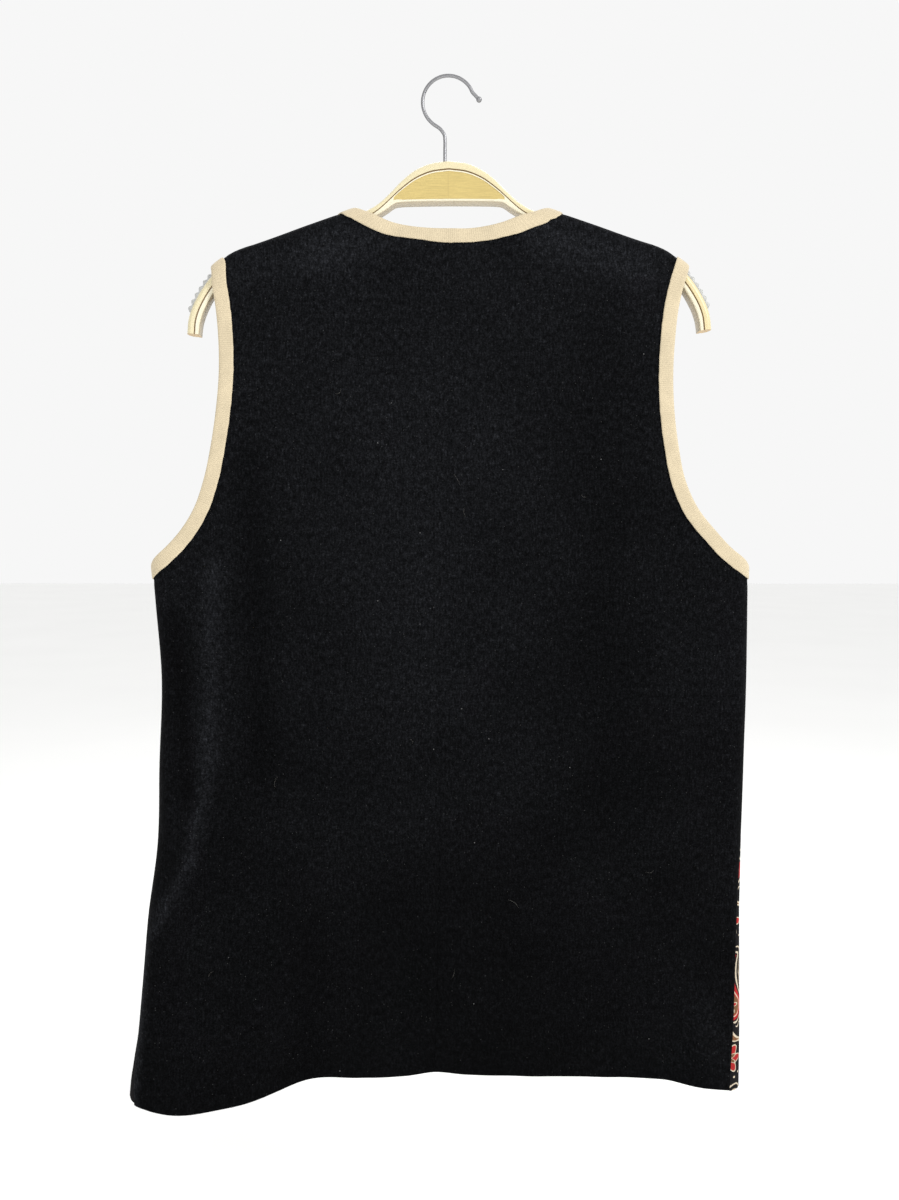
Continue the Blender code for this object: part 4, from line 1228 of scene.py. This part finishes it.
def lint(finish, place_on):
    """Mask of sparse lint specks."""
    masks = []
    for scale, radius, kept, pale in LINT_SIZES:
        cells = {"Vector": place_on, "Scale": scale}
        gap = finish.add("ShaderNodeTexVoronoi", {}, cells)
        chance = finish.add("ShaderNodeSeparateColor", {},
                            {0: finish.add("ShaderNodeTexVoronoi", {}, cells, 1)})
        masks.append(gap.under(radius * scale, 0.3 * radius * scale) * chance.over(kept, 0.01) * pale)
    return masks[0].math("MAXIMUM", masks[1])


def cloth_inside():
    """Plain wrong side of the cloth."""
    known = bpy.data.materials.get("cloth_wrong_side")
    if known:
        return known
    settings = bpy.context.scene.vest_cloth
    finish = Finish("cloth_wrong_side", {"Roughness": 0.95, "Specular IOR Level": 0.2})
    s, q = finish.flat(CLOTH_MAP)
    weave = (s * (math.tau / WEAVE)).math("SINE") * (q * (math.tau / WEAVE)).math("SINE")
    soft = finish.noise(finish.vector(s, q), 0.05, 3.0)
    finish.color(finish.shade(tuple(settings.inside), 0.7 + soft * 0.5 + weave * 0.15))
    finish.bump(weave, 0.12)
    return finish.material


def from_origin(x, y):
    """Distance of two coordinates from their origin."""
    return (x * x + y * y).math("SQRT")


def rotated(x, y, degrees):
    """Coordinates turned about their origin."""
    cosine, sine = math.cos(math.radians(degrees)), math.sin(math.radians(degrees))
    return x * cosine + y * sine, y * cosine - x * sine


def curled_drop(x, y, turn, shift, foot, tip, length, curl):
    """Coordinates from the round foot of a turned, curled drop, and the distance outside the drop."""
    x, y = rotated(x, y, turn)
    x, y = x + shift[0], y + shift[1]
    rise = (y / length).math("ADD", 0.0, clamp=True)
    spine = x - rise * rise * (curl * length)
    return x, y, from_origin(spine, y - rise * length) - (foot - rise * (foot - tip))


def ring_of_dots(x, y, soft, count, out, radius):
    """Dots at one distance from the middle, evenly turned about it."""
    turn = y.math("ARCTAN2", x) * (count / math.tau)
    from_middle = from_origin(x, y)
    side = (turn.math("FRACT") - 0.5) * from_middle * (math.tau / count)
    return from_origin(side, from_middle - out).under(radius, soft)


def petals(x, y, radius, count, depth, phase=0.0):
    """Distance outside a round flower with even petals."""
    wave = (y.math("ARCTAN2", x) * count + phase).math("COSINE")
    return from_origin(x, y) - radius * (1 - depth) - wave * (radius * depth)


def brick(x, y, width, height):
    """Coordinates inside a staggered grid of cells, and the column's side, -1 or 1."""
    column = (x / width).math("FLOOR")
    row = y / height + column * 0.5
    inside_x = (x / width - column - 0.5) * width
    inside_y = (row.math("FRACT") - 0.5) * height
    return inside_x, inside_y, (column * 0.5).math("FRACT") * 4 - 1


class Print(Finish):
    """A napped finish with the motifs of a print laid one over another."""

    def __init__(self, name):
        super().__init__(name, NAP_CONSTANTS)
        settings = bpy.context.scene.vest_print
        self.inks = {ink: tuple(getattr(settings, ink)) for ink in ("ground", "cream", "red", "brown")}
        self.soft = settings.edge_softness / MM
        self.width, self.height = settings.column / MM, settings.repeat / MM
        self.printed = self.inks["ground"]

    def lay(self, mask, ink):
        """Prints one colour where a mask is 1."""
        self.printed = self.mix(self.printed, self.inks[ink], mask)

    def layers(self, gap, *layers):
        """Prints colours in turn, each where the gap outside a shape is less than the layer's reach."""
        for edge, ink in layers:
            self.lay(gap.under(edge, self.soft), ink)

    def dots(self, x, y):
        """Small dots in staggered rows."""
        dot_x, dot_y, _ = brick(x, y, *DOT_CELL)
        self.layers(from_origin(dot_x, dot_y), (DOT_RADIUS, "cream"))

    def stem(self, x, y):
        """A winding stem between the columns, with leaves on its two sides in turn."""
        across = ((x / self.width + 0.5).math("FRACT") - 0.5) * self.width
        away = across - (y * (math.tau / self.height * 2)).math("SINE") * STEM_SWAY
        side = ((y / (2 * LEAF_PITCH)).math("FRACT") - 0.5).math("SIGN")
        out = away * side - LEAF_OUT
        up = ((y / LEAF_PITCH).math("FRACT") - 0.5) * LEAF_PITCH - out * LEAF_SLANT
        leaf = (out / LEAF_LONG) ** 2.0 + (up / LEAF_WIDE) ** 2.0
        self.layers(abs(away), (STEM_CLEAR, "ground"), (STEM_HALF, "cream"))
        self.lay(leaf.under(1.0, 0.3), "cream")
        self.lay(leaf.under(0.32, 0.2), "brown")

    def flowers(self, x, y):
        """Round flowers inside a ring of dots, each with a smaller flower and an eye in its middle."""
        x, y, _ = brick(x, y + self.height / 2, self.width, self.height)
        self.layers(from_origin(x, y), (FLOWER_CLEAR, "ground"))
        self.lay(ring_of_dots(x, y, self.soft, **FLOWER_DOTS), "cream")
        self.layers(petals(x, y, **FLOWER), (0.0, "cream"), (-1.3, "red"))
        self.layers(petals(x, y, **FLOWER_HEART), (0.0, "cream"), (-1.1, "brown"))
        self.layers(from_origin(x, y), (FLOWER_EYE, "cream"))

    def drops(self, x, y):
        """Scalloped drops that curl to each side in turn, with a flower inside and a small drop beside."""
        x, y, hand = brick(x, y, self.width, self.height)
        foot_x, foot_y, gap = curled_drop(x * hand, y, **DROP)
        border = gap - abs((foot_y.math("ARCTAN2", foot_x) * SCALLOPS).math("SINE")) * SCALLOP_DEPTH
        inner, outer = SCALLOP_BAND
        self.layers(gap, (DROP_CLEAR, "ground"))
        self.lay(border.under(outer, self.soft) * border.over(inner, self.soft), "cream")
        self.layers(gap, (1.0, "cream"), (-0.5, "ground"), (-1.9, "red"))
        self.lay(gap.near(-4.9, 0.45, self.soft), "cream")
        self.layers(gap, (-6.2, "brown"))
        self.layers(petals(foot_x, foot_y, **DROP_HEART), (0.0, "cream"), (-1.2, "red"))
        self.layers(from_origin(foot_x, foot_y), (DROP_EYE, "cream"))
        _, _, small = curled_drop(x * hand, y, **SMALL_DROP)
        self.layers(small, (4.5, "ground"), (0.8, "cream"), (-0.8, "brown"), (-3.4, "cream"))


def printed_cloth():
    """Napped cloth with a generic print of curled drops, flowers, stems and dots."""
    finish = Print("printed_napped_cloth")
    s, q = finish.flat(CLOTH_MAP)
    place_on = finish.vector(s, q)
    bleed = finish.noise(place_on, 0.9, 2.0) - 0.5
    x, y = s + bleed * 0.8 + PRINT_SHIFT[0], q + bleed * 0.6 + PRINT_SHIFT[1]
    for motif in (finish.dots, finish.stem, finish.flowers, finish.drops):
        motif(x, y)
    finish.lay(s.under(-PLAIN_FROM, 1.0), "ground")
    fade = finish.noise(place_on, 0.02, 3.0)
    pile = finish.noise(place_on, 2.2, 2.0, 0.6)
    brushed = finish.noise(finish.vector(s, q * 0.28), 0.55, 3.0, 0.6)
    tone = 0.77 + fade * 0.35 + pile.swing(0.5) + brushed.swing(0.45)
    finish.color(finish.shade(finish.printed, tone))
    finish.bump(pile * PILE_HEIGHT + brushed * BRUSHED_HEIGHT, 0.30)
    return finish.material


def ribbed_binding():
    """Beige strip with fine ribs across it, softly uneven in tone."""
    settings = bpy.context.scene.vest_binding
    finish = Finish("ribbed_beige_binding", {"Roughness": 0.85, "Specular IOR Level": 0.25,
                                             "Sheen Weight": 0.15, "Sheen Roughness": 0.5})
    run, around = finish.flat(BINDING_MAP)
    pitch = settings.rib_pitch / MM
    place_on = finish.vector(run, around)
    drift = finish.noise(place_on, 0.35, 2.0) * 1.3
    rib = ((run / pitch + drift * 0.35) * math.tau).math("SINE")
    thread = finish.noise(finish.vector(run * 1.6, around * 0.25), 1.4, 3.0, 0.65)
    tone = finish.noise(place_on, 0.05, 3.0)
    finish.color(finish.shade(tuple(settings.color),
                              0.81 + tone * 0.34 + rib * 0.04 + thread.swing(0.34)))
    finish.bump(rib * 0.35 + thread * 0.5, 0.14)
    return finish.material


def wood_grain(finish, across, up, stretch, scale):
    """Long grain of sawn wood, from 0 to 1."""
    bend = finish.noise(finish.vector(across * 0.01, up * 0.05), 1.0, 2.0)
    return finish.noise(finish.vector(across * stretch, up + bend * 2.4), scale, 4.0, 0.62)


def hanger_face():
    """Lacquered faces of the hanger: pale strip, dark groove, cream line, golden insert, cream rim."""
    settings = bpy.context.scene.vest_hanger
    strip_color, groove_color, cream_color, insert_color = (
        tuple(color) for color in (settings.strip, settings.groove, settings.cream, settings.insert))
    finish = Finish("laminated_hanger_face", LACQUER)
    x, up = finish.flat(WOOD_UP_MAP)
    depth, down = finish.flat(WOOD_DOWN_MAP)
    grain = wood_grain(finish, x, up, 0.035, 1.5)
    fine = finish.noise(finish.vector(x * 0.12, up, depth * 0.5), 3.2, 3.0, 0.6)
    golden = finish.noise(finish.vector(x * 0.02, up * 0.1), 1.0, 2.0)
    warm = (x / WARM_RUN).math("ADD", 0.0, clamp=True)
    strip = finish.shade(finish.mix(strip_color, insert_color, 0.10 + warm * 0.28 + golden * 0.12),
                         0.80 + grain * 0.26 + fine.swing(0.14))
    cream = finish.shade(cream_color, 0.86 + fine * 0.2)
    inlay = finish.shade(insert_color, 0.58 + grain * 0.62 + fine.swing(0.22))
    inlay = finish.mix(inlay, groove_color, x.near(JOINT_AT, JOINT_HALF, 0.3) * JOINT_DARK)
    rim = RIM + ((abs(x) - RIM_FLARE_FROM) * RIM_FLARE).math("MAXIMUM", 0.0)
    inside = (down - (GROOVE + CREAM_LINE)).math("MINIMUM", up - rim)
    on_paddle = abs(x).under(PADDLE_REACH, 0.5)
    color = finish.mix(cream, inlay, inside.over(0.0, 0.25) * on_paddle)
    color = finish.mix(color, groove_color, down.under(GROOVE, 0.3))
    color = finish.mix(color, strip, down.under(0.0, 0.3))
    finish.color(color)
    finish.rough(0.34 + grain * 0.14)
    finish.bump(grain * 0.4 + fine * 0.3, 0.10)
    return finish.material


def hanger_plain(name, color):
    """Plain lacquered wood of the underside and the ends; the underside's colour is partly painted shade.
    """
    finish = Finish(name, LACQUER)
    x, _ = finish.flat(WOOD_UP_MAP)
    depth, _ = finish.flat(WOOD_DOWN_MAP)
    grain = wood_grain(finish, x, depth, 0.05, 1.2)
    layers = (depth / LAYER).math("FRACT").under(LAYER_LINE, 0.1)
    finish.color(finish.shade(tuple(color), 0.74 + grain * 0.42 - layers * 0.10))
    finish.bump(grain, 0.10)
    return finish.material


def bright_wire():
    """Chromed wire with faint drawing marks."""
    finish = Finish("polished_wire", CHROME)
    run, around = finish.flat(CLOTH_MAP)
    marks = finish.noise(finish.vector(run * 0.3, around), 2.5, 2.0)
    finish.rough(0.41 + marks * 0.06)
    return finish.material


def clear_rubber():
    """Clear soft strip, slightly milky."""
    finish = Finish("clear_soft_grip", CLEAR)
    run, around = finish.flat(CLOTH_MAP)
    milky = finish.noise(finish.vector(run, around), 0.7, 2.0)
    finish.rough(0.16 + milky * 0.2)
    return finish.material


def hair_fibre():
    """Pale fibre of the lint hairs."""
    finish = Finish("lint_fibre", {"Roughness": 0.6})
    along_hair, _ = finish.flat(CLOTH_MAP)
    finish.color(finish.shade(HAIR_COLOR, 0.8 + finish.noise(along_hair * 400.0, 3.0) * 0.3))
    return finish.material


def pale_floor():
    """Matte floor with a barely uneven tone."""
    settings = bpy.context.scene.vest_stage
    finish = Finish("pale_floor", {"Roughness": 0.9, "Specular IOR Level": 0.1})
    place_on = finish.add("ShaderNodeTexCoord", {}, {}, 3)
    uneven = finish.noise(place_on, 1.4, 2.0)
    finish.color(finish.shade(tuple(settings.floor), 0.98 + uneven * 0.04))
    return finish.material


def length_setting(name, description, default, low, high):
    """A length in metres that a user can change."""
    return FloatProperty(name=name, description=description, default=default, min=low, max=high,
                         unit="LENGTH")


def color_setting(name, description, default):
    """A colour that a user can change."""
    return FloatVectorProperty(name=name, description=description, default=default, min=0, max=1,
                               subtype="COLOR")


class ClothSettings(bpy.types.PropertyGroup):
    """Sizes and colours of the vest's plain cloth"""
    mesh_spacing: length_setting("Mesh spacing", "Grid of the cloth meshes", 0.0046, 0.002, 0.02)
    crease_depth: FloatProperty(name="Crease depth", description="Strength of the small creases",
                                default=1.0, min=0.0, max=1.5, subtype="FACTOR")
    hem_turn: length_setting("Hem turn", "Depth of the hem turned up inside", 0.02, 0.005, 0.04)
    pucker: length_setting("Pucker", "Depth of the puckers beside the bindings", 0.0003, 0.0, 0.001)
    black: color_setting("Black", "Colour of the napped cloth", (0.0050, 0.0053, 0.0062))
    lint: color_setting("Lint", "Colour of the lint specks", (0.11, 0.11, 0.11))
    inside: color_setting("Wrong side", "Colour of the cloth inside the vest", (0.016, 0.015, 0.016))


class PrintSettings(bpy.types.PropertyGroup):
    """Sizes and colours of the printed front"""
    column: length_setting("Column", "Width of one column of the print", 0.084, 0.03, 0.2)
    repeat: length_setting("Repeat", "Height of one repeat of the print", 0.118, 0.03, 0.3)
    edge_softness: length_setting("Edge softness", "Soft edge of each printed shape", 0.0004, 0.0001, 0.002)
    ground: color_setting("Ground", "Ground colour of the print", (0.0125, 0.0118, 0.0125))
    cream: color_setting("Cream", "Light colour of the print", (0.62, 0.53, 0.40))
    red: color_setting("Red", "Warm colour of the print", (0.42, 0.030, 0.030))
    brown: color_setting("Brown", "Dark warm colour of the print", (0.20, 0.10, 0.05))


class BindingSettings(bpy.types.PropertyGroup):
    """Ribs and colour of the bindings"""
    rib_pitch: length_setting("Rib pitch", "Distance between the ribs", 0.0017, 0.0005, 0.005)
    color: color_setting("Colour", "Colour of the ribbed strip", (0.64, 0.54, 0.37))


class HangerSettings(bpy.types.PropertyGroup):
    """Relief and colours of the hanger"""
    insert_recess: length_setting("Insert recess", "Depth of the golden insert", 0.00035, 0.0, 0.001)
    groove_depth: length_setting("Groove depth", "Depth of the dark groove", 0.0008, 0.0, 0.002)
    strip: color_setting("Outer strip", "Pale wood along the crown", (0.82, 0.74, 0.50))
    groove: color_setting("Groove", "Dark glue line under the strip", (0.25, 0.155, 0.065))
    cream: color_setting("Cream", "Pale lines and rim", (0.86, 0.80, 0.61))
    insert: color_setting("Insert", "Golden wood of the middle", (0.66, 0.51, 0.185))
    # The underside colour is the wood's side grain and partly painted shade: darker because that face looks
    # down
    underside: color_setting("Underside", "Plain wood below", (0.56, 0.48, 0.34))
    ends: color_setting("Ends", "Sawn ends of the arms", (0.58, 0.38, 0.14))


class StageSettings(bpy.types.PropertyGroup):
    """Floor, light and camera"""
    floor: color_setting("Floor", "Colour of the floor", (0.95, 0.95, 0.94))
    backdrop: FloatProperty(name="Backdrop", description="Brightness of the room behind the vest",
                            default=0.93, min=0.0, max=3.0)
    room: FloatProperty(name="Room", description="Brightness of the room in front of the vest",
                        default=0.42, min=0.0, max=3.0)
    ceiling: FloatProperty(name="Ceiling", description="Brightness that the ceiling adds",
                           default=0.4, min=0.0, max=3.0)
    key_power: FloatProperty(name="Key light", description="Power of the large soft light",
                             default=68.0, min=0.0, max=500.0, unit="POWER")
    lens: FloatProperty(name="Lens", description="Focal length for a 36 mm tall frame",
                        default=27.6, min=10.0, max=120.0, unit="CAMERA")


def black_panels():
    """The two back panels."""
    finish = black_nap()
    for side, name in SIDE_NAMES.items():
        obj = make_panel("back_" + name + "_cloth", -1, side, finish)
        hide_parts("back_" + name)


def printed_panels():
    """The two front panels."""
    finish = printed_cloth()
    for side, name in SIDE_NAMES.items():
        obj = make_panel("front_" + name + "_cloth", 1, side, finish)
        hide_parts("front_" + name)


class VEST_OT_back(bpy.types.Operator):
    """Build the two back panels of napped cloth"""
    bl_idname = "vest.back_panels"
    bl_label = "Back panels"

    def execute(self, context):
        black_panels()
        return {"FINISHED"}


class VEST_OT_front(bpy.types.Operator):
    """Build the two printed front panels"""
    bl_idname = "vest.front_panels"
    bl_label = "Front panels"

    def execute(self, context):
        printed_panels()
        return {"FINISHED"}


class VEST_OT_bindings(bpy.types.Operator):
    """Build the bindings of the neck and armholes"""
    bl_idname = "vest.bindings"
    bl_label = "Bindings"

    def execute(self, context):
        finish = ribbed_binding()
        make_neck_binding(finish)
        for side, name in SIDE_NAMES.items():
            make_armhole_binding(side, finish)
        return {"FINISHED"}


class VEST_OT_lint(bpy.types.Operator):
    """Lay a few lint hairs on the nap"""
    bl_idname = "vest.lint"
    bl_label = "Lint hairs"

    def execute(self, context):
        make_hairs(hair_fibre())
        return {"FINISHED"}


class VEST_OT_hanger(bpy.types.Operator):
    """Build the wooden hanger, its wire hook and its grips"""
    bl_idname = "vest.hanger"
    bl_label = "Hanger"

    def execute(self, context):
        settings = context.scene.vest_hanger
        make_hanger([hanger_face(), hanger_plain("hanger_underside", settings.underside),
                     hanger_plain("hanger_ends", settings.ends)])
        make_hook(bright_wire())
        clear = clear_rubber()
        for side in SIDE_NAMES:
            make_grip(side, clear)
        return {"FINISHED"}


def area_light(name, stand, aim, size, power):
    """A large soft light turned to a point; lengths in millimetres, power in watts."""
    light = bpy.data.lights.new(name, "AREA")
    light.shape = "DISK"
    light.size = size * MM
    light.energy = power
    obj = bpy.data.objects.new(name, light)
    obj.location = Vector(stand) * MM
    obj.rotation_euler = (Vector(aim) - Vector(stand)).to_track_quat("-Z", "Y").to_euler()
    bpy.context.scene.collection.objects.link(obj)


def studio_room(settings):
    """Even white light: bright behind the vest, softer in front of it, with a bright ceiling."""
    world = bpy.data.worlds.new("soft_studio")
    world.use_nodes = True
    tree = world.node_tree
    way = tree.nodes.new("ShaderNodeSeparateXYZ")
    tree.links.new(tree.nodes.new("ShaderNodeTexCoord").outputs["Generated"], way.inputs[0])
    ramps = []
    for axis, (low, high), at_low, at_high in (("Y", ROOM_EDGE, settings.room, settings.backdrop),
                                               ("Z", CEILING_EDGE, 0.0, settings.ceiling)):
        ramp = tree.nodes.new("ShaderNodeMapRange")
        ramp.interpolation_type = "SMOOTHSTEP"
        limits = {"From Min": low, "From Max": high, "To Min": at_low, "To Max": at_high}
        for socket, value in limits.items():
            ramp.inputs[socket].default_value = value
        tree.links.new(way.outputs[axis], ramp.inputs["Value"])
        ramps.append(ramp)
    total = tree.nodes.new("ShaderNodeMath")
    for ramp, socket in zip(ramps, total.inputs):
        tree.links.new(ramp.outputs[0], socket)
    background = tree.nodes["Background"]
    background.inputs["Color"].default_value = (1.0, 1.0, 1.0, 1.0)
    tree.links.new(total.outputs[0], background.inputs["Strength"])
    return world


class VEST_OT_stage(bpy.types.Operator):
    """Lay the floor, light the scene and set the camera"""
    bl_idname = "vest.stage"
    bl_label = "Stage"

    def execute(self, context):
        settings = context.scene.vest_stage
        half = FLOOR_HALF * MM
        mesh = bpy.data.meshes.new("floor")
        mesh.from_pydata([(-half, -half, 0), (half, -half, 0), (half, half, 0), (-half, half, 0)], [],
                         [(0, 1, 2, 3)])
        mesh.materials.append(pale_floor())
        floor = bpy.data.objects.new("floor", mesh)
        floor.location.z = FLOOR_LEVEL * MM
        context.scene.collection.objects.link(floor)
        context.scene.world = studio_room(settings)
        for name, stand, aim, size, share in LIGHTS:
            area_light(name, stand, aim, size, settings.key_power * share)
        camera = bpy.data.cameras.new("camera")
        camera.sensor_fit = "VERTICAL"
        camera.sensor_height = 36.0
        camera.lens = settings.lens
        camera.clip_end = 60.0
        obj = bpy.data.objects.new("camera", camera)
        obj.location = Vector(CAMERA_PLACE) * MM
        obj.rotation_euler = [math.radians(angle) for angle in CAMERA_TURN]
        context.scene.collection.objects.link(obj)
        context.scene.camera = obj
        context.scene.view_settings.view_transform = "Standard"
        return {"FINISHED"}


class VEST_PT_sidebar(bpy.types.Panel):
    """Settings and steps of the vest on its hanger"""
    bl_label = "Vest on a Hanger"
    bl_space_type = "VIEW_3D"
    bl_region_type = "UI"
    bl_category = "Vest"

    def draw(self, context):
        for name, group in GROUPS.items():
            box = self.layout.box()
            box.label(text=group.__doc__)
            for setting in group.__annotations__:
                box.prop(getattr(context.scene, name), setting)
        for operator in OPERATORS:
            self.layout.operator(operator.bl_idname)


GROUPS = {"vest_cloth": ClothSettings, "vest_print": PrintSettings, "vest_binding": BindingSettings,
          "vest_hanger": HangerSettings, "vest_stage": StageSettings}
OPERATORS = (VEST_OT_hanger, VEST_OT_back, VEST_OT_front, VEST_OT_bindings, VEST_OT_lint, VEST_OT_stage)


def register():
    for cls in (*GROUPS.values(), *OPERATORS, VEST_PT_sidebar):
        bpy.utils.register_class(cls)
    for name, group in GROUPS.items():
        setattr(bpy.types.Scene, name, PointerProperty(type=group))


def unregister():
    for name in GROUPS:
        delattr(bpy.types.Scene, name)
    for cls in (VEST_PT_sidebar, *OPERATORS, *GROUPS.values()):
        bpy.utils.unregister_class(cls)


def main():
    register()
    for operator in OPERATORS:
        group, step = operator.bl_idname.split(".")
        getattr(getattr(bpy.ops, group), step)()


if __name__ == "__main__":
    main()
